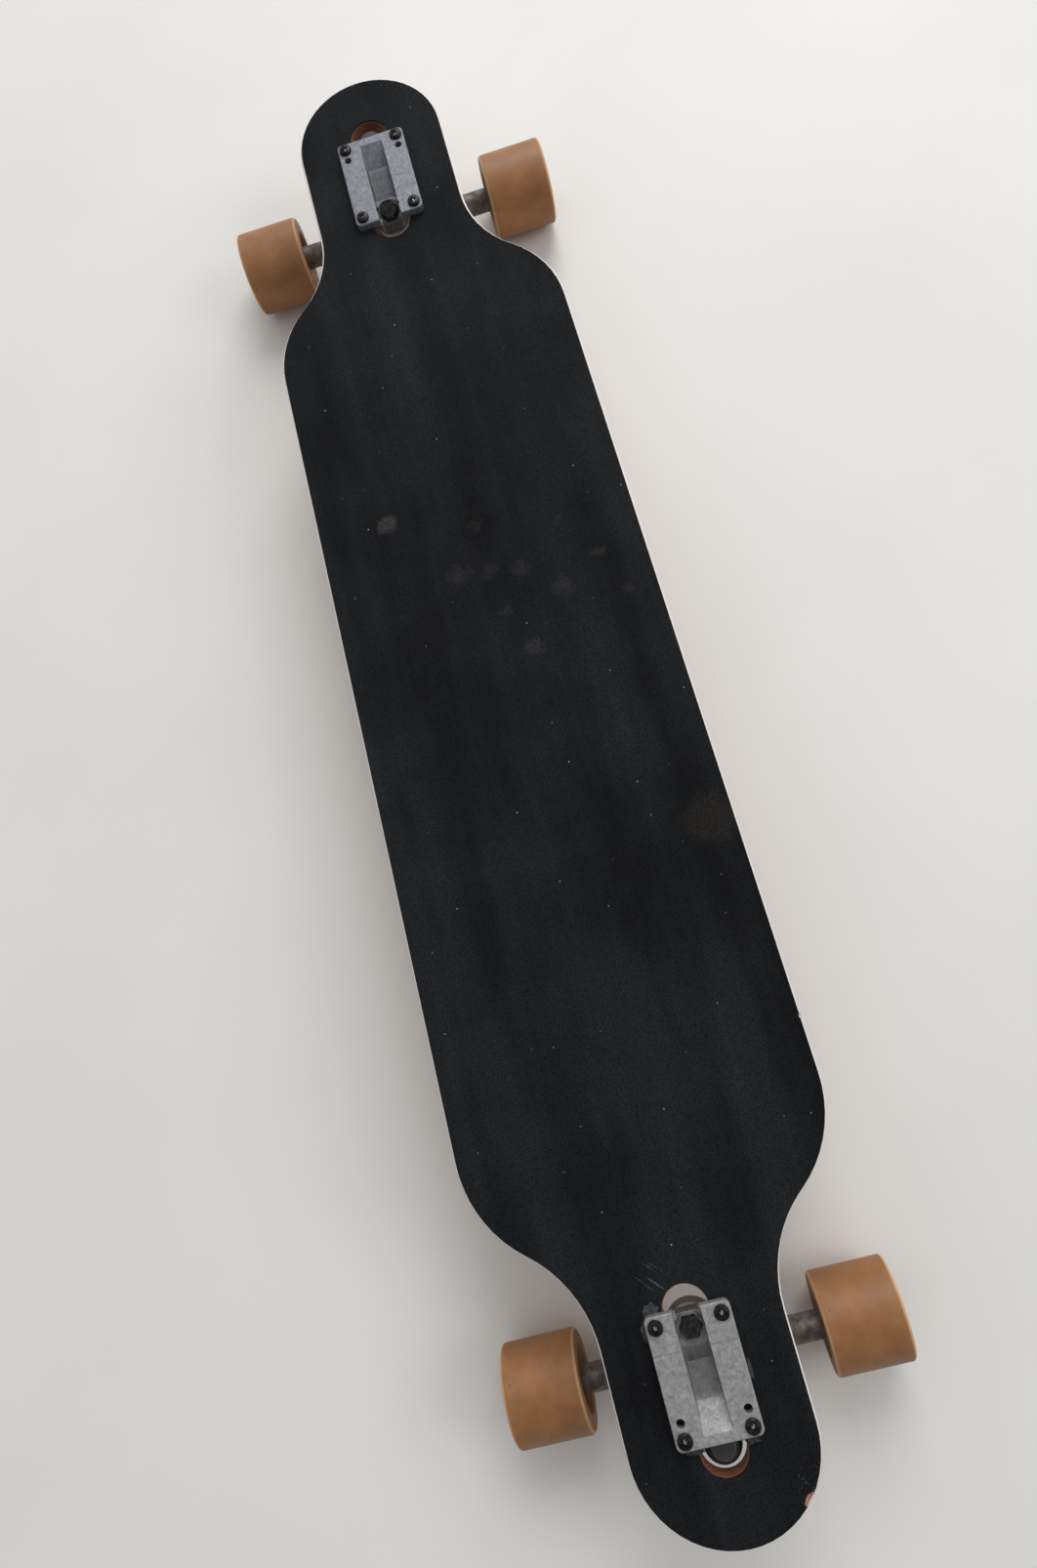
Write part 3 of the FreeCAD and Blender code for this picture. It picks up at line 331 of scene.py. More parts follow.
def grip_paper():
    """Silicon-carbide paper: dull black grit, mottled by dirt and wear."""
    material, tree, spot = new_finish("silicon_carbide_paper")
    # Grit: real grains are 0.3 mm, drawn at 1.1 mm so that they show in a full view
    grit = add(tree, "TexVoronoi", {"Vector": spot, "Scale": 1 / 1.1}, "Distance")
    grain = add(tree, "TexNoise", {"Vector": spot, "Scale": 1 / 1.6, "Detail": 4, "Roughness": 0.7})
    blotch = add(tree, "TexNoise", {
        "Vector": spot, "Scale": 1 / 120, "Detail": 7, "Roughness": 0.62})
    along = add(tree, "Mapping", {"Vector": spot, "Scale": (1 / 9, 1, 1)})
    streak = add(tree, "TexNoise", {
        "Vector": along, "Scale": 1 / 34, "Detail": 5, "Roughness": 0.55})
    wear = add(tree, "Math", {0: blotch, 1: streak}, operation="ADD")
    colour = two_tones(tree, wear, 0.78, 1.28, "#0f1012", "#232528")
    # Worn places have ragged rims: each spot is shifted by noise before its distance is taken
    wander = add(tree, "TexNoise", {"Vector": spot, "Scale": 1 / 8, "Detail": 4}, "Color")
    wander = add(tree, "VectorMath", {0: wander, 1: (0.5, 0.5, 0.5)}, operation="SUBTRACT")
    wander = add(tree, "VectorMath", {0: wander, "Scale": WANDER}, operation="SCALE")
    ragged = add(tree, "VectorMath", {0: spot, 1: wander}, operation="ADD")
    ragged = add(tree, "VectorMath", {0: ragged, 1: (1, 1, 0)}, operation="MULTIPLY")
    scuffed = 0.0
    for x, y, radius, strength in SCUFFS:
        patch = near_place(tree, ragged, x, y, SCUFF_CORE * radius, radius, strength)
        scuffed = add(tree, "Math", {0: scuffed, 1: patch}, operation="MAXIMUM")
    broken = add(tree, "MapRange", {0: grain, 1: 0.32, 2: 0.6, 3: 0.5, 4: 1})
    scuffed = add(tree, "Math", {0: scuffed, 1: broken}, operation="MULTIPLY")
    rubbed, scratched, dusted = [
        near_place(tree, ragged, x, y, core * radius, radius) for x, y, radius, core in WORN_PLACES]
    # The rubbed patch is brown and lies near the rim
    fretted = add(tree, "MapRange", {0: grain, 1: 0.35, 2: 0.65, 3: 0.3, 4: 0.8})
    rubbed = add(tree, "Math", {0: rubbed, 1: fretted}, operation="MULTIPLY")
    # Slanting scratches 0.8 mm wide, gathered by the front slot
    slant = add(tree, "Mapping", {
        "Vector": spot, "Rotation": (0, 0, math.pi / 4), "Scale": (18, 2, 1)},
        vector_type="TEXTURE")
    lines = add(tree, "TexNoise", {"Vector": slant, "Scale": 1, "Detail": 2})
    thin = add(tree, "MapRange", {0: lines, 1: 0.63, 2: 0.69, 3: 0, 4: 0.4})
    scratched = add(tree, "Math", {0: scratched, 1: thin}, operation="MULTIPLY")
    # Dust: pale specks about 1 mm across in a few of the cells, and thick by the chip
    cell = add(tree, "TexVoronoi", {
        "Vector": spot, "Scale": 1 / DUST_CELL}, voronoi_dimensions="2D").node.outputs
    speck = add(tree, "MapRange", {0: cell["Distance"], 1: 0.01, 2: 0.024, 3: 1, 4: 0})
    chance = add(tree, "SeparateXYZ", {0: cell["Color"]})
    chosen = add(tree, "MapRange", {0: chance, 1: 0.74, 2: 1, 3: 0, 4: 0.85})
    speck = add(tree, "Math", {0: speck, 1: chosen}, operation="MULTIPLY")
    crumb = add(tree, "TexNoise", {"Vector": spot, "Scale": 1 / 2.2, "Detail": 5, "Roughness": 0.7})
    crumb = add(tree, "MapRange", {0: crumb, 1: 0.6, 2: 0.68, 3: 0, 4: 0.5})
    crumb = add(tree, "Math", {0: crumb, 1: dusted}, operation="MULTIPLY")
    speck = add(tree, "Math", {0: speck, 1: crumb}, operation="MAXIMUM")
    for share, code in (
            (scuffed, "#403f40"), (rubbed, "#2b2824"), (scratched, "#707174"), (speck, "#a9a79f")):
        colour = add(tree, "Mix", {0: share, 6: colour, 7: code}, 2, data_type="RGBA")
    # Grit gives small tonal steps, uneven gloss and relief
    step = add(tree, "MapRange", {0: grit, 1: 0, 2: 0.8, 3: 1.6, 4: 0.5})
    colour = add(tree, "VectorMath", {0: colour, "Scale": step}, operation="SCALE")
    rough = add(tree, "MapRange", {0: grain, 1: 0.3, 2: 0.7, 3: 0.7, 4: 0.95})
    height = add(tree, "Math", {0: grain, 1: grit}, operation="SUBTRACT")
    relief = add(tree, "Bump", {"Strength": 0.5, "Distance": 0.3 * MM, "Height": height})
    shader = add(tree, "BsdfPrincipled", {
        "Base Color": colour, "Roughness": rough, "Normal": relief, "Specular IOR Level": 0.12})
    add(tree, "OutputMaterial", {"Surface": shader})
    return material


tape_rings = [(corner.z, TAPE_SETBACK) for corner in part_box("grip_tape")]
trimmed_tape = drawn_in(welded_copy("grip_tape"), tape_rings, TAPE_FRONT_SHARE)
worn_grip = carved(trimmed_tape, chip_tools(TAPE_CHIP_SCALE))
finished_piece("worn_grip_tape", worn_grip, grip_paper(), "board", "grip", "grip_tape")


# Torn scraps: thin leaves of the tape's backing paper, left where the front plate was last
# taken off and put back. They lie on the tape against the plate's edge.
# Scraps: place along and across the board, half length and half width, in millimetres
SCRAPS = [
    (399, -21, 6, 4.5),
    (409, -28, 6, 2),
    (441, 27.5, 6, 2.2),
    (478, 18, 3, 5),
    (477.5, -17, 2.5, 6),
]
SCRAP_THICKNESS = 0.3 * MM
SCRAP_LIFT = 0.3 * MM
SCRAP_SIDES = 13
SCRAP_LEAST_REACH = 0.8
SCRAP_RAGGEDNESS = 0.45
SCRAP_SEED = 11


def torn_scraps():
    """Ragged leaves with a lifted rim, each a closed thin sheet on the tape."""
    draw = np.random.default_rng(SCRAP_SEED)
    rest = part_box("grip_tape")[1].z
    leaves = bmesh.new()
    for x, y, along, across in SCRAPS:
        lower = []
        upper = []
        for step in range(SCRAP_SIDES):
            turn = 2 * math.pi * step / SCRAP_SIDES
            reach = SCRAP_LEAST_REACH + SCRAP_RAGGEDNESS * draw.random()
            spot_x = x + along * reach * math.cos(turn)
            spot_y = y + across * reach * math.sin(turn)
            spot = Vector((spot_x * MM, spot_y * MM, rest))
            lower.append(leaves.verts.new(spot))
            rise = SCRAP_THICKNESS + SCRAP_LIFT * draw.random()
            upper.append(leaves.verts.new(spot + Vector((0, 0, rise))))
        crown = leaves.verts.new((x * MM, y * MM, rest + SCRAP_THICKNESS))
        base = leaves.verts.new((x * MM, y * MM, rest))
        for i in range(SCRAP_SIDES):
            j = (i + 1) % SCRAP_SIDES
            leaves.faces.new((crown, upper[i], upper[j]))
            leaves.faces.new((base, lower[j], lower[i]))
            leaves.faces.new((lower[i], lower[j], upper[j], upper[i]))
    return as_mesh("torn_scraps", leaves)


def backing_paper():
    """Torn backing paper: dark grey and fibrous, scuffed paler in patches."""
    material, tree, spot = new_finish("torn_backing_paper")
    fibre = add(tree, "TexNoise", {"Vector": spot, "Scale": 1 / 1.4, "Detail": 6, "Roughness": 0.7})
    colour = two_tones(tree, fibre, 0.38, 0.7, "#232425", "#55565a")
    relief = add(tree, "Bump", {"Strength": 0.5, "Distance": 0.2 * MM, "Height": fibre})
    shader = add(tree, "BsdfPrincipled", {
        "Base Color": colour, "Roughness": 0.9, "Normal": relief, "Specular IOR Level": 0.2})
    add(tree, "OutputMaterial", {"Surface": shader})
    return material


finished_piece("torn_tape_scraps", torn_scraps(), backing_paper(), "board", "grip")


# Baseplates: die-cast aluminium, left raw. The plate lies on the tape and its keel hangs
# through the slot, with a drafted channel, the kingpin's seat and the pivot housing.
# The mould leaves cloudy flow marks, ejector rings and a parting line across each leg.
ENDS = {"front": 1, "rear": -1}
PLATE_HALF_LENGTH = 38
# Ejector rings: place outward and across from the plate's middle and radius, in millimetres
EJECTOR_RINGS = [
    (-25, -17, 2.4), (-25, 17, 2.4), (25.5, -20.6, 2.2), (34.5, 1, 2.2), (5, 18.5, 2.4)]
PARTING_LINE = -16
PLATE_THICKNESS = 6
CHANNEL_DEPTH = 12.5


def cast_plate(end, pale, dark):
    """Raw die-cast aluminium: matt grey cloudy skin, bright edges that are partly worn and partly
    painted highlight, a darker inner channel, and painted shade under the deck.
    """
    sign = ENDS[end]
    low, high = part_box(f"{end}_baseplate")
    inner_end = low.x if sign > 0 else high.x
    middle = Vector((inner_end + sign * PLATE_HALF_LENGTH * MM, 0, high.z))
    material, tree, spot = new_finish(f"die_cast_aluminium_{end}", middle)
    outward = add(tree, "VectorMath", {0: spot, 1: (sign, sign, 1)}, operation="MULTIPLY")
    x, _, z = add(tree, "SeparateXYZ", {0: outward}).node.outputs
    cloud = add(tree, "TexNoise", {"Vector": spot, "Scale": 1 / 6, "Detail": 8, "Roughness": 0.66})
    pits = add(tree, "TexNoise", {"Vector": spot, "Scale": 1 / 0.9, "Detail": 3})
    flow = add(tree, "TexNoise", {"Vector": spot, "Scale": 1 / 2.2, "Detail": 4, "Distortion": 1.2})
    marks = add(tree, "Math", {0: cloud, 1: flow}, operation="ADD")
    colour = two_tones(tree, marks, 0.72, 1.26, dark, pale)
    flat = add(tree, "VectorMath", {0: outward, 1: (1, 1, 0)}, operation="MULTIPLY")
    rings = 0.0
    for u, v, radius in EJECTOR_RINGS:
        away = add(tree, "VectorMath", {0: flat, 1: (u, v, 0)}, "Value", operation="DISTANCE")
        off = add(tree, "Math", {0: away, 1: radius}, operation="SUBTRACT")
        off = add(tree, "Math", {0: off}, operation="ABSOLUTE")
        ring = add(tree, "MapRange", {0: off, 1: 0.1, 2: 0.5, 3: 1, 4: 0})
        rings = add(tree, "Math", {0: rings, 1: ring}, operation="MAXIMUM")
    on_top = add(tree, "MapRange", {0: z, 1: -PLATE_THICKNESS - 1, 2: -PLATE_THICKNESS})
    rings = add(tree, "Math", {0: rings, 1: on_top}, operation="MULTIPLY")
    # The inner part of the channel is darker; all beyond the plate's end and all below the channel,
    # which lie under the deck, are darkened as painted shade
    sunk = add(tree, "MapRange", {0: z, 1: -2, 2: -9, 3: 0, 4: 0.5})
    inner = add(tree, "MapRange", {0: x, 1: 18, 2: 12, 3: 0, 4: 1})
    sunk = add(tree, "Math", {0: sunk, 1: inner}, operation="MULTIPLY")
    beyond = add(tree, "MapRange", {
        0: x, 1: PLATE_HALF_LENGTH - 1, 2: PLATE_HALF_LENGTH + 0.5, 3: 0, 4: 0.95})
    deep = add(tree, "MapRange", {
        0: z, 1: -CHANNEL_DEPTH - 0.1, 2: -CHANNEL_DEPTH - 1, 3: 0, 4: 0.8})
    darkening_and_shade = add(tree, "Math", {0: sunk, 1: beyond}, operation="MAXIMUM")
    darkening_and_shade = add(tree, "Math", {0: darkening_and_shade, 1: deep}, operation="MAXIMUM")
    ringed = add(tree, "Math", {0: rings, 1: 0.22}, operation="MULTIPLY")
    seam = add(tree, "Math", {0: x, 1: PARTING_LINE}, operation="SUBTRACT")
    seam = add(tree, "Math", {0: seam}, operation="ABSOLUTE")
    seam = add(tree, "MapRange", {0: seam, 1: 0.2, 2: 0.6, 3: 0.35, 4: 0})
    # Bright edges, partly wear and partly painted highlight: where the rounded normal leaves the
    # true one
    soft = add(tree, "Bevel", {"Radius": 0.7 * MM}, samples=4)
    true = add(tree, "NewGeometry", out="Normal")
    bend = add(tree, "VectorMath", {0: soft, 1: true}, "Value", operation="DOT_PRODUCT")
    worn_and_highlit = add(tree, "MapRange", {0: bend, 1: 0.99, 2: 0.85, 3: 0, 4: 0.5})
    for share, code in (
            (darkening_and_shade, "#2f2e2d"), (ringed, "#bfbfbe"), (seam, "#4c4c4c"), (worn_and_highlit, "#c4c4c3")):
        colour = add(tree, "Mix", {0: share, 6: colour, 7: code}, 2, data_type="RGBA")
    rough = add(tree, "MapRange", {0: pits, 1: 0.3, 2: 0.7, 3: 0.42, 4: 0.62})
    height = add(tree, "Math", {0: rings, 1: cloud}, operation="ADD")
    height = add(tree, "Math", {0: height, 1: pits}, operation="ADD")
    relief = add(tree, "Bump", {
        "Strength": 0.35, "Distance": 0.25 * MM, "Height": height, "Normal": soft})
    shader = add(tree, "BsdfPrincipled", {
        "Base Color": colour, "Metallic": 0.4, "Roughness": rough, "Normal": relief})
    add(tree, "OutputMaterial", {"Surface": shader})
    return material


def dress(node_name, material):
    """Gives a carried-over node its finish."""
    for slot in nodes[node_name].material_slots:
        slot.material = material


dress("front_baseplate", cast_plate("front", "#aeaead", "#7c7c7b"))
# The rear plate's tones are darker than the front's as painted shade, since the far window lights
# the rear plate more strongly
dress("rear_baseplate", cast_plate("rear", "#868890", "#5c5e63"))


# Mounting bolts and nuts: eight black pan-head screws with a cross recess go down through
# plate, tape and deck. Each is rolled with a fine thread and held below by a hexagon nut
# with a nylon ring in its round collar, so that it can't shake loose.
BOLT_SPACING = 63.5 * MM
BOLT_HEAD_RADIUS = 4.75 * MM
BOLT_HEAD_HEIGHT = 2.6 * MM
BOLT_RADIUS = 2.4 * MM
BOLT_THREADED = 9 * MM
BOLT_PITCH = 0.8 * MM
BOLT_NUT_FLATS = 9.5 * MM
RECESS_SPAN = 5.6 * MM
RECESS_ARM = 1.3 * MM
RECESS_DEPTH = 1.7 * MM
RECESS_OVERSHOOT = 0.2 * MM
SECOND_ARM_SHARE = 1.03
# Shares of the arm's span and width that are left at the recess's floor
RECESS_TAPER = (0.5, 0.85)
# Profile of the pan head: shares of its radius and of its height
HEAD_PROFILE = [(0.97, 0), (1, 0.05), (1, 0.42), (0.96, 0.62), (0.86, 0.8), (0.66, 0.93), (0.3, 1)]
COLLAR_SHARE = 0.36
COLLAR_RADIUS_SHARE = 0.47
NUT_CHAMFER_SHARE = 0.06
NUT_ROOM = 0.05 * MM
SCREW_SEED = 4
NUT_SEED = 9
THREAD_ROWS = 5
SIDES = 36
TURNS = [2 * math.pi * side / SIDES for side in range(SIDES)]


def turned_rings(profile, flats=math.inf):
    """Rings about Z for a profile of radius and height, cut to a hexagon where flats is given."""
    rings = []
    for radius, height in profile:
        ring = []
        for turn in TURNS:
            off_flat = (turn + math.pi / 6) % (math.pi / 3) - math.pi / 6
            reach = min(radius, flats / 2 / math.cos(off_flat))
            ring.append((reach * math.cos(turn), reach * math.sin(turn), height))
        rings.append(ring)
    return rings


def thread_rings(radius, bottom, top, pitch):
    """Rings about Z of a rolled V thread between two heights."""
    count = round((top - bottom) / pitch * THREAD_ROWS)
    rings = []
    for row in range(count + 1):
        height = bottom + (top - bottom) * row / count
        ring = []
        for turn in TURNS:
            wave = abs(2 * ((height / pitch - turn / (2 * math.pi)) % 1) - 1)
            reach = radius - pitch / 2 * wave
            ring.append((reach * math.cos(turn), reach * math.sin(turn), height))
        rings.append(ring)
    return rings


def pointed_thread(radius, tip, threaded, pitch):
    """Rings of a bolt's end: the blunt tip, the thread, and the start of the plain shank."""
    return (
        turned_rings([(radius - pitch, tip)])
        + thread_rings(radius, tip + pitch / 2, tip + threaded, pitch)
        + turned_rings([(radius, tip + threaded + pitch / 2)])
    )


def lofted(rings, hollow=False):
    """A solid through rings, capped at both ends or, where hollow, closed on itself."""
    shape = bmesh.new()
    loops = [[shape.verts.new(spot) for spot in ring] for ring in rings]
    pairs = list(zip(loops, loops[1:]))
    if hollow:
        pairs.append((loops[-1], loops[0]))
    else:
        shape.faces.new(reversed(loops[0]))
        shape.faces.new(loops[-1])
    for ring, following in pairs:
        for i in range(SIDES):
            j = (i + 1) % SIDES
            shape.faces.new((ring[i], ring[j], following[j], following[i]))
    bmesh.ops.recalc_face_normals(shape, faces=shape.faces)
    return as_mesh("lofted", shape)


def recess_blade(turn, depth):
    """One tapered arm of the cross recess, across the head's top."""
    shape = bmesh.new()
    top = BOLT_HEAD_HEIGHT + RECESS_OVERSHOOT
    floor = BOLT_HEAD_HEIGHT - depth
    for z, (span, width) in ((top, (1, 1)), (floor, RECESS_TAPER)):
        for sx in (1, -1):
            for sy in (1, -1):
                shape.verts.new((sx * span * RECESS_SPAN / 2, sy * width * RECESS_ARM / 2, z))
    bmesh.ops.convex_hull(shape, input=shape.verts)
    shape.transform(Matrix.Rotation(turn, 4, "Z"))
    return as_mesh("recess_blade", shape)


def pan_head_screw(length):
    """A pan-head machine screw with its seat at zero, its head up and its shank down."""
    head = [(wide * BOLT_HEAD_RADIUS, high * BOLT_HEAD_HEIGHT) for wide, high in HEAD_PROFILE]
    rings = pointed_thread(BOLT_RADIUS, -length, BOLT_THREADED, BOLT_PITCH)
    rings += turned_rings([(BOLT_RADIUS, 0)] + head)
    # The second arm is a hair deeper, so that the two floors don't meet in one plane
    second = recess_blade(math.pi / 2, SECOND_ARM_SHARE * RECESS_DEPTH)
    return carved(lofted(rings), [recess_blade(0, RECESS_DEPTH), second])


def lock_nut(flats, height, bolt_radius):
    """A hexagon nut from zero up to a collar that grips a nylon ring; insert marks the ring."""
    bore = bolt_radius + NUT_ROOM
    flat = flats / 2
    corner = flats / math.sqrt(3)
    blunt = (flat + corner) / 2
    bevel = NUT_CHAMFER_SHARE * flats
    collar = height * (1 - COLLAR_SHARE)
    outer = COLLAR_RADIUS_SHARE * flats
    lip = (outer + bore) / 2
    floor = collar + bevel
    body = lofted(turned_rings([
        (bore, 0), (flat, 0), (blunt, bevel / 2), (corner, bevel), (corner, collar - bevel),
        (blunt, collar - bevel / 2), (flat, collar), (outer, collar), (outer, height - bevel),
        (outer - bevel, height), (lip, height), (lip, floor), (bore, floor),
    ], flats), hollow=True)
    ring = lofted(turned_rings([
        (bore + NUT_ROOM, floor + NUT_ROOM), (lip - NUT_ROOM, floor + NUT_ROOM),
        (lip - NUT_ROOM, height - bevel), (bore + NUT_ROOM, height - 1.6 * bevel),
    ]), hollow=True)
    shape = bmesh.new()
    shape.from_mesh(body)
    insert = shape.verts.layers.float.new("insert")
    steel_count = len(shape.verts)
    shape.from_mesh(ring)
    shape.verts.ensure_lookup_table()
    for vertex in shape.verts[steel_count:]:
        vertex[insert] = 1.0
    return as_mesh("lock_nut", shape)


def fastener_tree():
    """A tree that stands a fastener on each point, along its out vector, with a seeded turn."""
    tree = bpy.data.node_groups.new("fasteners_on_points", "GeometryNodeTree")
    for name, kind in (("Geometry", "Geometry"), ("Fastener", "Object"), ("Greatest Turn", "Float"),
                       ("Seed", "Int"), ("Finish", "Material")):
        tree.interface.new_socket(name, in_out="INPUT", socket_type=f"NodeSocket{kind}")
    tree.interface.new_socket("Geometry", in_out="OUTPUT", socket_type="NodeSocketGeometry")
    given = add(tree, "NodeGroupInput").node.outputs
    out = add(tree, "GeometryNodeInputNamedAttribute", {
        "Name": "out"}, "Attribute", data_type="FLOAT_VECTOR")
    upright = add(tree, "FunctionNodeAlignRotationToVector", {"Vector": out}, axis="Z")
    angle = add(tree, "FunctionNodeRandomValue", {
        2: 0.0, 3: given["Greatest Turn"], "Seed": given["Seed"]}, 1, data_type="FLOAT")
    spin = add(tree, "FunctionNodeAxisAngleToRotation", {"Axis": (0, 0, 1), "Angle": angle})
    turn = add(tree, "FunctionNodeRotateRotation", {
        "Rotation": upright, "Rotate By": spin}, rotation_space="LOCAL")
    shape = add(tree, "GeometryNodeObjectInfo", {"Object": given["Fastener"]}, "Geometry")
    copies = add(tree, "GeometryNodeInstanceOnPoints", {
        "Points": given["Geometry"], "Instance": shape, "Rotation": turn})
    solid = add(tree, "GeometryNodeRealizeInstances", {0: copies})
    done = add(tree, "GeometryNodeSetMaterial", {"Geometry": solid, "Material": given["Finish"]})
    add(tree, "NodeGroupOutput", {"Geometry": done})
    return tree


placing = fastener_tree()


def placed_fasteners(mesh, places, finish, greatest_turn=0.0, seed=0):
    """The fastener's mesh on each place, a pair of point and out vector, baked to one mesh."""
    pattern = bpy.data.objects.new("fastener", mesh)
    carrier_mesh = bpy.data.meshes.new("fastener_points")
    points, directions = zip(*places)
    carrier_mesh.from_pydata(points, [], [])
    out = carrier_mesh.attributes.new("out", "FLOAT_VECTOR", "POINT")
    out.data.foreach_set("vector", np.array(directions, dtype=float).ravel())
    carrier = bpy.data.objects.new("fastener_points", carrier_mesh)
    for item in (pattern, carrier):
        scene.collection.objects.link(item)
    values = {
        "Fastener": pattern, "Greatest Turn": greatest_turn, "Seed": seed, "Finish": finish}
    modifier = carrier.modifiers.new("placing", "NODES")
    modifier.node_group = placing
    for item in placing.interface.items_tree:
        if item.in_out == "INPUT" and item.name in values:
            modifier[item.identifier] = values[item.name]
    graph = bpy.context.evaluated_depsgraph_get()
    baked = bpy.data.meshes.new_from_object(carrier.evaluated_get(graph))
    carrier.modifiers.remove(modifier)
    bpy.data.objects.remove(carrier)
    bpy.data.objects.remove(pattern)
    return baked


def black_oxide():
    """Black oxide on steel: thin dark skin with an oily gloss, grey where handled, dull nylon."""
    material, tree, spot = new_finish("black_oxide_steel")
    rub = add(tree, "TexNoise", {"Vector": spot, "Scale": 1 / 2.5, "Detail": 5, "Roughness": 0.65})
    colour = two_tones(tree, rub, 0.42, 0.78, "#131314", "#3a3938")
    # The floor of each cross recess is painted bright: bare steel worn by the driver, and a painted
    # glint
    recess_floor = (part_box("mounting_bolts")[1].z - RECESS_DEPTH) / MM
    height = add(tree, "SeparateXYZ", {0: spot}, 2)
    bare_and_glint = add(tree, "Math", {0: height, 1: recess_floor, 2: 0.1}, operation="COMPARE")
    normal = add(tree, "NewGeometry", out="True Normal")
    upright = add(tree, "SeparateXYZ", {0: normal}, 2)
    level = add(tree, "Math", {0: upright, 1: 0.97}, operation="GREATER_THAN")
    bare_and_glint = add(tree, "Math", {0: bare_and_glint, 1: level}, operation="MULTIPLY")
    insert = add(tree, "Attribute", out="Fac", attribute_name="insert")
    for share, code in ((bare_and_glint, "#b4b4b2"), (insert, "#262626")):
        colour = add(tree, "Mix", {0: share, 6: colour, 7: code}, 2, data_type="RGBA")
    metal = add(tree, "MapRange", {0: insert, 3: 0.7, 4: 0})
    rough = add(tree, "MapRange", {0: rub, 1: 0.3, 2: 0.7, 3: 0.2, 4: 0.4})
    relief = add(tree, "Bump", {"Strength": 0.15, "Distance": 0.1 * MM, "Height": rub})
    shader = add(tree, "BsdfPrincipled", {
        "Base Color": colour, "Metallic": metal, "Roughness": rough, "Normal": relief})
    add(tree, "OutputMaterial", {"Surface": shader})
    return material


oxide = black_oxide()
bolts_low, bolts_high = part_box("mounting_bolts")
nuts_low, nuts_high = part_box("mounting_nuts")
outer_bolts = bolts_high.x - BOLT_HEAD_RADIUS
bolt_side = bolts_high.y - BOLT_HEAD_RADIUS
bolt_seat = bolts_high.z - BOLT_HEAD_HEIGHT
bolt_spots = [
    (sign * reach, side * bolt_side)
    for sign in ENDS.values()
    for reach in (outer_bolts, outer_bolts - BOLT_SPACING)
    for side in (1, -1)
]
screws = placed_fasteners(
    pan_head_screw(bolt_seat - bolts_low.z),
    [((x, y, bolt_seat), (0, 0, 1)) for x, y in bolt_spots], oxide,
    greatest_turn=math.pi / 2, seed=SCREW_SEED,
)
finished_piece("pan_head_screws", screws, oxide, "board", "black_steel", "mounting_bolts")
bolt_nuts = placed_fasteners(
    lock_nut(BOLT_NUT_FLATS, nuts_high.z - nuts_low.z, BOLT_RADIUS),
    [((x, y, nuts_high.z), (0, 0, -1)) for x, y in bolt_spots], oxide,
    greatest_turn=math.pi / 3, seed=NUT_SEED,
)
finished_piece("bolt_lock_nuts", bolt_nuts, oxide, "board", "black_steel", "mounting_nuts")


# Kingpins: black hexagon bolts seated in the plate's channel. Each goes down through the
# bushings and the hanger's ring, leaning outward, and ends in a short threaded tip.
KINGPIN_RADIUS = 4.75 * MM
KINGPIN_HEAD_FLATS = 12.7 * MM
KINGPIN_HEAD_HEIGHT = 6 * MM
KINGPIN_LENGTH = 52 * MM
KINGPIN_PITCH = 1.06 * MM
KINGPIN_THREADED = 14 * MM
RING_DEPTH = 27.5 * MM
joints = {joint["name"]: joint for joint in frame["joints"]}


def kingpin_bolt():
    """A hexagon bolt with its seat at zero, its chamfered head up and its shank down."""
    flat = KINGPIN_HEAD_FLATS / 2
    corner = KINGPIN_HEAD_FLATS / math.sqrt(3)
    h = KINGPIN_HEAD_HEIGHT
    bevel = corner - flat
    rings = pointed_thread(KINGPIN_RADIUS, -KINGPIN_LENGTH, KINGPIN_THREADED, KINGPIN_PITCH)
    rings += turned_rings([(KINGPIN_RADIUS, 0), (corner, 0), (corner, h - bevel),
                           (corner - bevel / 2, h - bevel / 2), (flat, h)], KINGPIN_HEAD_FLATS)
    return lofted(rings)


kingpin_places = []
for end in ENDS:
    steer = joints[f"{end}_steer"]
    axis = Vector(steer["axis"]).normalized()
    up = Vector((-axis.z * math.copysign(1, axis.x), 0, abs(axis.x)))
    kingpin_places.append((Vector(steer["pos_m"]) + RING_DEPTH * up, up))
kingpins = placed_fasteners(kingpin_bolt(), kingpin_places, oxide)
finished_piece("kingpin_bolts", kingpins, oxide, "board", "black_steel",
               "front_kingpin", "rear_kingpin")


# Bushings and pivot cups: cast urethane. The bushings are threaded on the kingpin above and
# below the hanger's ring and spring it back; the cups are pressed into the plate's housing.
def cast_urethane(name, dark, pale):
    """Cast urethane: even and waxy, with dust in its pores."""
    material, tree, spot = new_finish(name)
    dust = add(tree, "TexNoise", {"Vector": spot, "Scale": 1 / 4, "Detail": 5})
    colour = two_tones(tree, dust, 0.35, 0.7, dark, pale)
    rough = add(tree, "MapRange", {0: dust, 1: 0.3, 2: 0.7, 3: 0.42, 4: 0.62})
    relief = add(tree, "Bump", {"Strength": 0.2, "Distance": 0.2 * MM, "Height": dust})
    shader = add(tree, "BsdfPrincipled", {
        "Base Color": colour, "Roughness": rough, "Normal": relief, "IOR": 1.49})
    add(tree, "OutputMaterial", {"Surface": shader})
    return material


cup_finish = cast_urethane("cast_urethane_cup", "#161616", "#2c2b2a")
bushing_finish = cast_urethane("cast_urethane_bushing", "#9d928c", "#b8ada6")
for end in ENDS:
    dress(f"{end}_pivot_cup", cup_finish)
    dress(f"{end}_boardside_bushing", bushing_finish)
    dress(f"{end}_roadside_bushing", bushing_finish)


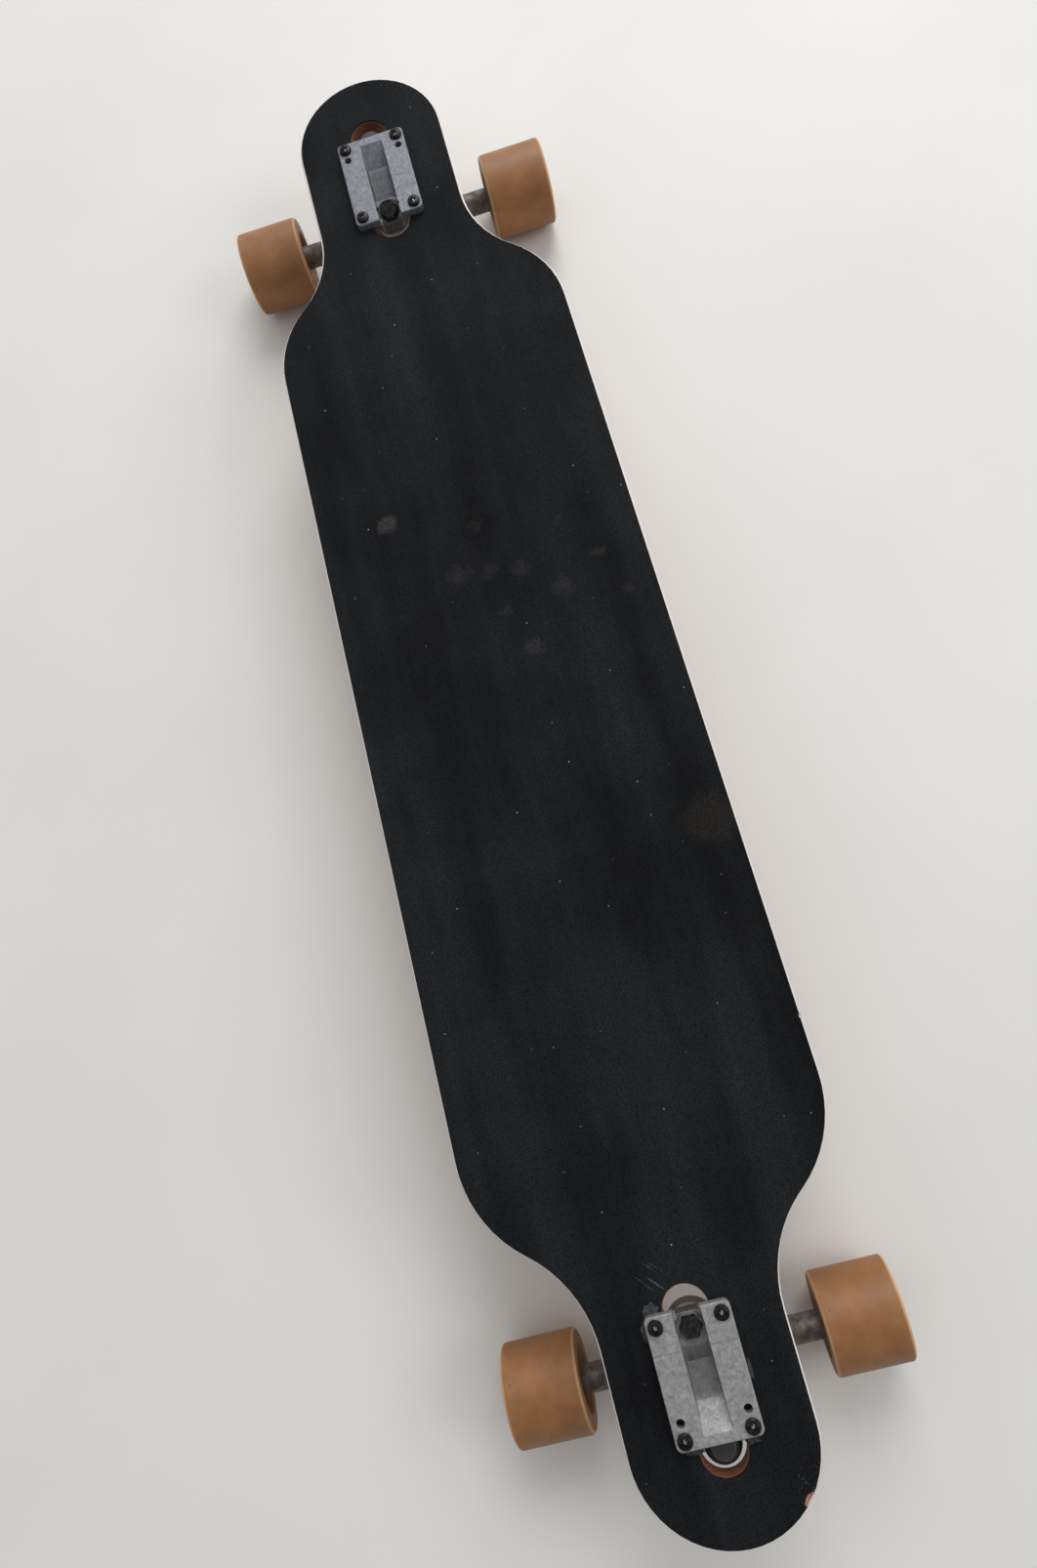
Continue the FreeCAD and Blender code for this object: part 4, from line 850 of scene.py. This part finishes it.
# Cup washers and kingpin nuts: zinc-plated steel. The washers are pressed cups that keep the
# bushings round, and the nut sets how tightly they are squeezed.
def zinc_plate(name, dark, pale, shine):
    """Zinc plate: soft silver with grey clouds and rust freckles, and an off-white nylon ring."""
    material, tree, spot = new_finish(name)
    cloud = add(tree, "TexNoise", {"Vector": spot, "Scale": 1 / 3, "Detail": 6})
    freckle = add(tree, "TexNoise", {"Vector": spot, "Scale": 1 / 1.1, "Detail": 4})
    colour = two_tones(tree, cloud, 0.3, 0.7, dark, pale)
    rust = add(tree, "MapRange", {0: freckle, 1: 0.66, 2: 0.76, 3: 0, 4: 0.7})
    insert = add(tree, "Attribute", out="Fac", attribute_name="insert")
    for share, code in ((rust, "#6b4a34"), (insert, "#c9c4b4")):
        colour = add(tree, "Mix", {0: share, 6: colour, 7: code}, 2, data_type="RGBA")
    metal = add(tree, "MapRange", {0: insert, 3: shine, 4: 0})
    rough = add(tree, "MapRange", {0: cloud, 1: 0.3, 2: 0.7, 3: 0.28, 4: 0.46})
    relief = add(tree, "Bump", {"Strength": 0.12, "Distance": 0.1 * MM, "Height": freckle})
    shader = add(tree, "BsdfPrincipled", {
        "Base Color": colour, "Metallic": metal, "Roughness": rough, "Normal": relief})
    add(tree, "OutputMaterial", {"Surface": shader})
    return material


zinc = zinc_plate("zinc_plated_steel", "#83868a", "#b4b5b3", 1)
dulled_zinc = zinc_plate("dulled_zinc_plated_steel", "#8d827c", "#aba09a", 0.2)
KINGPIN_NUT_FLATS = 14.3 * MM
KINGPIN_NUT_HEIGHT = 6.5 * MM
nut_places = []
for (_, up), end in zip(kingpin_places, ENDS):
    dress(f"{end}_cup_washers", dulled_zinc)
    low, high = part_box(f"{end}_kingpin_nut")
    nut_places.append(((low + high) / 2 + KINGPIN_NUT_HEIGHT / 2 * up, -up))
kingpin_nut = lock_nut(KINGPIN_NUT_FLATS, KINGPIN_NUT_HEIGHT, KINGPIN_RADIUS)
kingpin_nuts = placed_fasteners(kingpin_nut, nut_places, zinc)
finished_piece("kingpin_lock_nuts", kingpin_nuts, zinc, "board", "zinc_steel",
               "front_kingpin_nut", "rear_kingpin_nut")


# Hangers: cast aluminium arms that steer on the kingpin and the pivot and hold the axle.
# Road dirt and oxide have turned the sand-blasted skin brown-grey, rubbed paler in places.
def weathered_casting():
    """Weathered cast aluminium: brown-grey oxide and road dirt with paler rubbed clouds."""
    material, tree, spot = new_finish("weathered_cast_aluminium")
    cloud = add(tree, "TexNoise", {"Vector": spot, "Scale": 1 / 6, "Detail": 8, "Roughness": 0.66})
    sand = add(tree, "TexNoise", {"Vector": spot, "Scale": 1 / 0.8, "Detail": 3})
    colour = two_tones(tree, cloud, 0.32, 0.72, "#443c38", "#8d8581")
    # Road dust lies on the upper side between the arms, under the deck's slot
    normal = add(tree, "NewGeometry", out="Normal")
    upright = add(tree, "SeparateXYZ", {0: normal}, 2)
    dust = add(tree, "MapRange", {0: upright, 1: 0.5, 2: 0.9, 3: 0, 4: 0.8})
    across = add(tree, "SeparateXYZ", {0: spot}, 1)
    across = add(tree, "Math", {0: across}, operation="ABSOLUTE")
    middle = add(tree, "MapRange", {0: across, 1: 18, 2: 26, 3: 1, 4: 0})
    dust = add(tree, "Math", {0: dust, 1: middle}, operation="MULTIPLY")
    colour = add(tree, "Mix", {0: dust, 6: colour, 7: "#a0958f"}, 2, data_type="RGBA")
    metal = add(tree, "MapRange", {0: dust, 3: 0.4, 4: 0})
    rough = add(tree, "MapRange", {0: cloud, 1: 0.3, 2: 0.7, 3: 0.62, 4: 0.46})
    height = add(tree, "Math", {0: cloud, 1: sand}, operation="ADD")
    soft = add(tree, "Bevel", {"Radius": 1.0 * MM}, samples=4)
    relief = add(tree, "Bump", {
        "Strength": 0.3, "Distance": 0.3 * MM, "Height": height, "Normal": soft})
    shader = add(tree, "BsdfPrincipled", {
        "Base Color": colour, "Metallic": metal, "Roughness": rough, "Normal": relief})
    add(tree, "OutputMaterial", {"Surface": shader})
    return material


casting = weathered_casting()
for end in ENDS:
    dress(f"{end}_hanger", casting)


# Axles: ground steel rods pressed through the hangers, with a rolled thread at each end
# for the nuts. The wheels' bearings sit on the plain part.
AXLE_RADIUS = 4 * MM
AXLE_PITCH = 1.06 * MM
AXLE_THREADED = 12 * MM


def ground_steel(name, dark, pale, roughness):
    """Ground steel: fine grey marks round the bar with a soft shine."""
    material, tree, spot = new_finish(name)
    drawn = add(tree, "Mapping", {"Vector": spot, "Scale": (1 / 12, 1, 1 / 12)})
    marks = add(tree, "TexNoise", {"Vector": drawn, "Scale": 1 / 0.3, "Detail": 3})
    colour = two_tones(tree, marks, 0.3, 0.7, dark, pale)
    relief = add(tree, "Bump", {"Strength": 0.1, "Distance": 0.05 * MM, "Height": marks})
    shader = add(tree, "BsdfPrincipled", {
        "Base Color": colour, "Metallic": 1.0, "Roughness": roughness, "Normal": relief})
    add(tree, "OutputMaterial", {"Surface": shader})
    return material


axle_finish = ground_steel("ground_axle_steel", "#6d6c6b", "#9b9a98", 0.34)
for end in ENDS:
    low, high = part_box(f"{end}_axle")
    half = (high.y - low.y) / 2
    near_end = pointed_thread(AXLE_RADIUS, -half, AXLE_THREADED, AXLE_PITCH)
    far_end = [[(x, -y, -z) for x, y, z in ring] for ring in reversed(near_end)]
    rod = lofted(near_end + far_end)
    axle = placed_fasteners(rod, [((low + high) / 2, (0, 1, 0))], axle_finish)
    finished_piece(f"{end}_threaded_axle", axle, axle_finish, f"{end}_truck", "axle_steel",
                   f"{end}_axle")


# Wheels: tan urethane cast round the bearing seats, square lipped, with recessed faces.
# The tread is matt from the road, the lips are rubbed paler, and grit has left dark freckles.
CORNERS = [f"{end}_{hand}" for end in ENDS for hand in ("left", "right")]
OPENING_RADIUS = 21
RECESS_SHADE_RADIUS = 15
FRECKLE_CELL = 9


def wheel_urethane(corner):
    """Cast urethane: opaque tan with a satin skin, pale lips, painted shade in the recess and
    freckles.
    """
    low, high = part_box(f"{corner}_wheel")
    half_width = (high.y - low.y) / 2 / MM
    radius = (high.z - low.z) / 2 / MM
    material, tree, spot = new_finish(f"cast_tan_urethane_{corner}", (low + high) / 2)
    across = add(tree, "SeparateXYZ", {0: spot}, 1)
    spun = add(tree, "VectorMath", {0: spot, 1: (1, 0, 1)}, operation="MULTIPLY")
    reach = add(tree, "VectorMath", {0: spun}, "Value", operation="LENGTH")
    side = add(tree, "Math", {0: across}, operation="ABSOLUTE")
    cloud = add(tree, "TexNoise", {"Vector": spot, "Scale": 1 / 22, "Detail": 6, "Roughness": 0.6})
    skin = add(tree, "TexNoise", {"Vector": spot, "Scale": 1 / 0.9, "Detail": 4})
    colour = two_tones(tree, cloud, 0.3, 0.72, "#845830", "#a27044")
    # Pale rubbed lips, about 2 mm wide, where tread and face meet
    near_side = add(tree, "MapRange", {0: side, 1: half_width - 2.2, 2: half_width - 0.8})
    near_rim = add(tree, "MapRange", {0: reach, 1: radius - 2.4, 2: radius - 1.1})
    lip = add(tree, "Math", {0: near_side, 1: near_rim}, operation="MULTIPLY")
    lip = add(tree, "Math", {0: lip, 1: 0.85}, operation="MULTIPLY")
    # Painted shade darkens the recess from the opening inward
    recess_shade = add(tree, "MapRange", {
        0: reach, 1: OPENING_RADIUS + 0.3, 2: RECESS_SHADE_RADIUS, 3: 0, 4: 0.4})
    # Freckles about 1 mm across, with ragged rims, in some of the cells
    wander = add(tree, "TexNoise", {"Vector": spot, "Scale": 1 / 1.1, "Detail": 3}, "Color")
    wander = add(tree, "VectorMath", {0: wander, "Scale": 2.4}, operation="SCALE")
    ragged = add(tree, "VectorMath", {0: spot, 1: wander}, operation="ADD")
    cell = add(tree, "TexVoronoi", {"Vector": ragged, "Scale": 1 / FRECKLE_CELL}).node.outputs
    freckle = add(tree, "MapRange", {0: cell["Distance"], 1: 0.04, 2: 0.11, 3: 0.7, 4: 0})
    chance = add(tree, "SeparateXYZ", {0: cell["Color"]}, 1)
    chosen = add(tree, "Math", {0: chance, 1: 0.72}, operation="GREATER_THAN")
    freckle = add(tree, "Math", {0: freckle, 1: chosen}, operation="MULTIPLY")
    for share, code in ((lip, "#d3ab7d"), (recess_shade, "#3f2a18"), (freckle, "#3a2817")):
        colour = add(tree, "Mix", {0: share, 6: colour, 7: code}, 2, data_type="RGBA")
    mottle = add(tree, "MapRange", {0: skin, 1: 0.3, 2: 0.7, 3: 0.92, 4: 1.06})
    colour = add(tree, "VectorMath", {0: colour, "Scale": mottle}, operation="SCALE")
    rough = add(tree, "MapRange", {0: cloud, 1: 0.3, 2: 0.7, 3: 0.46, 4: 0.62})
    relief = add(tree, "Bump", {"Strength": 0.18, "Distance": 0.2 * MM, "Height": skin})
    shader = add(tree, "BsdfPrincipled", {
        "Base Color": colour, "Roughness": rough, "Normal": relief, "IOR": 1.5})
    add(tree, "OutputMaterial", {"Surface": shader})
    return material


for corner in CORNERS:
    dress(f"{corner}_wheel", wheel_urethane(corner))


# Bearings and washers: two caged ball bearings of hardened steel sit in each wheel, kept apart
# by a plated spacer and clamped by the nut between two thin plated washers.
race_finish = ground_steel("polished_bearing_steel", "#86868a", "#bdbdbf", 0.22)
shield_finish = ground_steel("pressed_shield_steel", "#5b5c5f", "#8f9092", 0.4)
for corner in CORNERS:
    for piece in ("outer_races", "inner_races", "balls", "cages"):
        dress(f"{corner}_bearing_{piece}", race_finish)
    dress(f"{corner}_bearing_shields", shield_finish)
    dress(f"{corner}_bearing_spacer", zinc)
    dress(f"{corner}_speed_washers", zinc)


# Axle nuts: plated lock nuts, two on each axle, that hold the wheels on. Each has a nylon
# ring in its collar, which faces outward.
AXLE_NUT_FLATS = 13 * MM
axle_nut_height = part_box("front_left_axle_nut")[1].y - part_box("front_left_axle_nut")[0].y
for end in ENDS:
    places = []
    for hand, side in (("left", 1), ("right", -1)):
        low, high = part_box(f"{end}_{hand}_axle_nut")
        middle = (low + high) / 2
        places.append((middle - Vector((0, side * axle_nut_height / 2, 0)), (0, side, 0)))
    axle_nut = lock_nut(AXLE_NUT_FLATS, axle_nut_height, AXLE_RADIUS)
    axle_nuts = placed_fasteners(axle_nut, places, zinc)
    finished_piece(f"{end}_axle_lock_nuts", axle_nuts, zinc, f"{end}_truck", "zinc_steel",
                   f"{end}_left_axle_nut", f"{end}_right_axle_nut")


# Stage: a pale matt table top under soft daylight from the far end and the right,
# seen from above the front part of the board.
def pale_laminate():
    """Pale matt laminate, faintly clouded."""
    material, tree, spot = new_finish("pale_laminate")
    cloud = add(tree, "TexNoise", {"Vector": spot, "Scale": 1 / 260, "Detail": 5})
    colour = two_tones(tree, cloud, 0.3, 0.7, "#e3e1dd", "#e9e7e3")
    shader = add(tree, "BsdfPrincipled", {
        "Base Color": colour, "Roughness": 0.6, "Specular IOR Level": 0.3})
    add(tree, "OutputMaterial", {"Surface": shader})
    return material


FLOOR_HALF = 6.0
floor_mesh = bpy.data.meshes.new("floor")
floor_corners = [
    (sx * FLOOR_HALF, sy * FLOOR_HALF, 0) for sx, sy in ((-1, -1), (1, -1), (1, 1), (-1, 1))]
floor_mesh.from_pydata(floor_corners, [], [(0, 1, 2, 3)])
floor_mesh.materials.append(pale_laminate())
floor = bpy.data.objects.new("floor", floor_mesh)
scene.collection.objects.link(floor)

# The room is brighter towards the far end
NEAR_GLOW = 0.28
FAR_GLOW = 0.86
world = bpy.data.worlds.new("daylight")
scene.world = world
world.use_nodes = True
room = world.node_tree
room.nodes.clear()
towards = add(room, "TexCoord", out="Generated")
towards = add(room, "SeparateXYZ", {0: towards})
strength = add(room, "MapRange", {0: towards, 1: 1, 2: -1, 3: NEAR_GLOW, 4: FAR_GLOW})
sky = add(room, "Background", {"Color": "#f1f2f4", "Strength": strength})
add(room, "OutputWorld", {"Surface": sky})

# Windows: name, place and side in metres, and power in watts
WINDOWS = [
    ("far_window", (-2.4, 0.9, 2.2), 1.9, 56),
    ("side_window", (0.4, 2.6, 2.2), 1.6, 24),
]
for name, spot, side, power in WINDOWS:
    lamp = bpy.data.lights.new(name, "AREA")
    lamp.shape = "SQUARE"
    lamp.size = side
    lamp.energy = power
    holder = bpy.data.objects.new(name, lamp)
    holder.location = spot
    holder.rotation_euler = Vector(spot).to_track_quat("Z", "Y").to_euler()
    scene.collection.objects.link(holder)

# The camera stands over the front half and looks down and back along the board
IMAGE_HEIGHT_PIXELS = 1606
FOCAL_PIXELS = 1022.6
CAMERA_PLACE = (0.1987, 0.0331, 0.7598)
CAMERA_HEADING = math.radians(180 + 19.46)
CAMERA_TILT = math.radians(77.31)
CAMERA_ROLL = math.radians(-34.73)
camera = bpy.data.cameras.new("camera")
camera.lens = camera.sensor_width * FOCAL_PIXELS / IMAGE_HEIGHT_PIXELS
view = Vector((
    math.cos(CAMERA_HEADING) * math.cos(CAMERA_TILT),
    math.sin(CAMERA_HEADING) * math.cos(CAMERA_TILT),
    -math.sin(CAMERA_TILT),
))
eye = bpy.data.objects.new("camera", camera)
eye.location = CAMERA_PLACE
eye.rotation_mode = "QUATERNION"
eye.rotation_quaternion = view.to_track_quat("-Z", "Y") @ Quaternion((0, 0, 1), CAMERA_ROLL)
scene.collection.objects.link(eye)
scene.camera = eye
scene.view_settings.view_transform = "Standard"
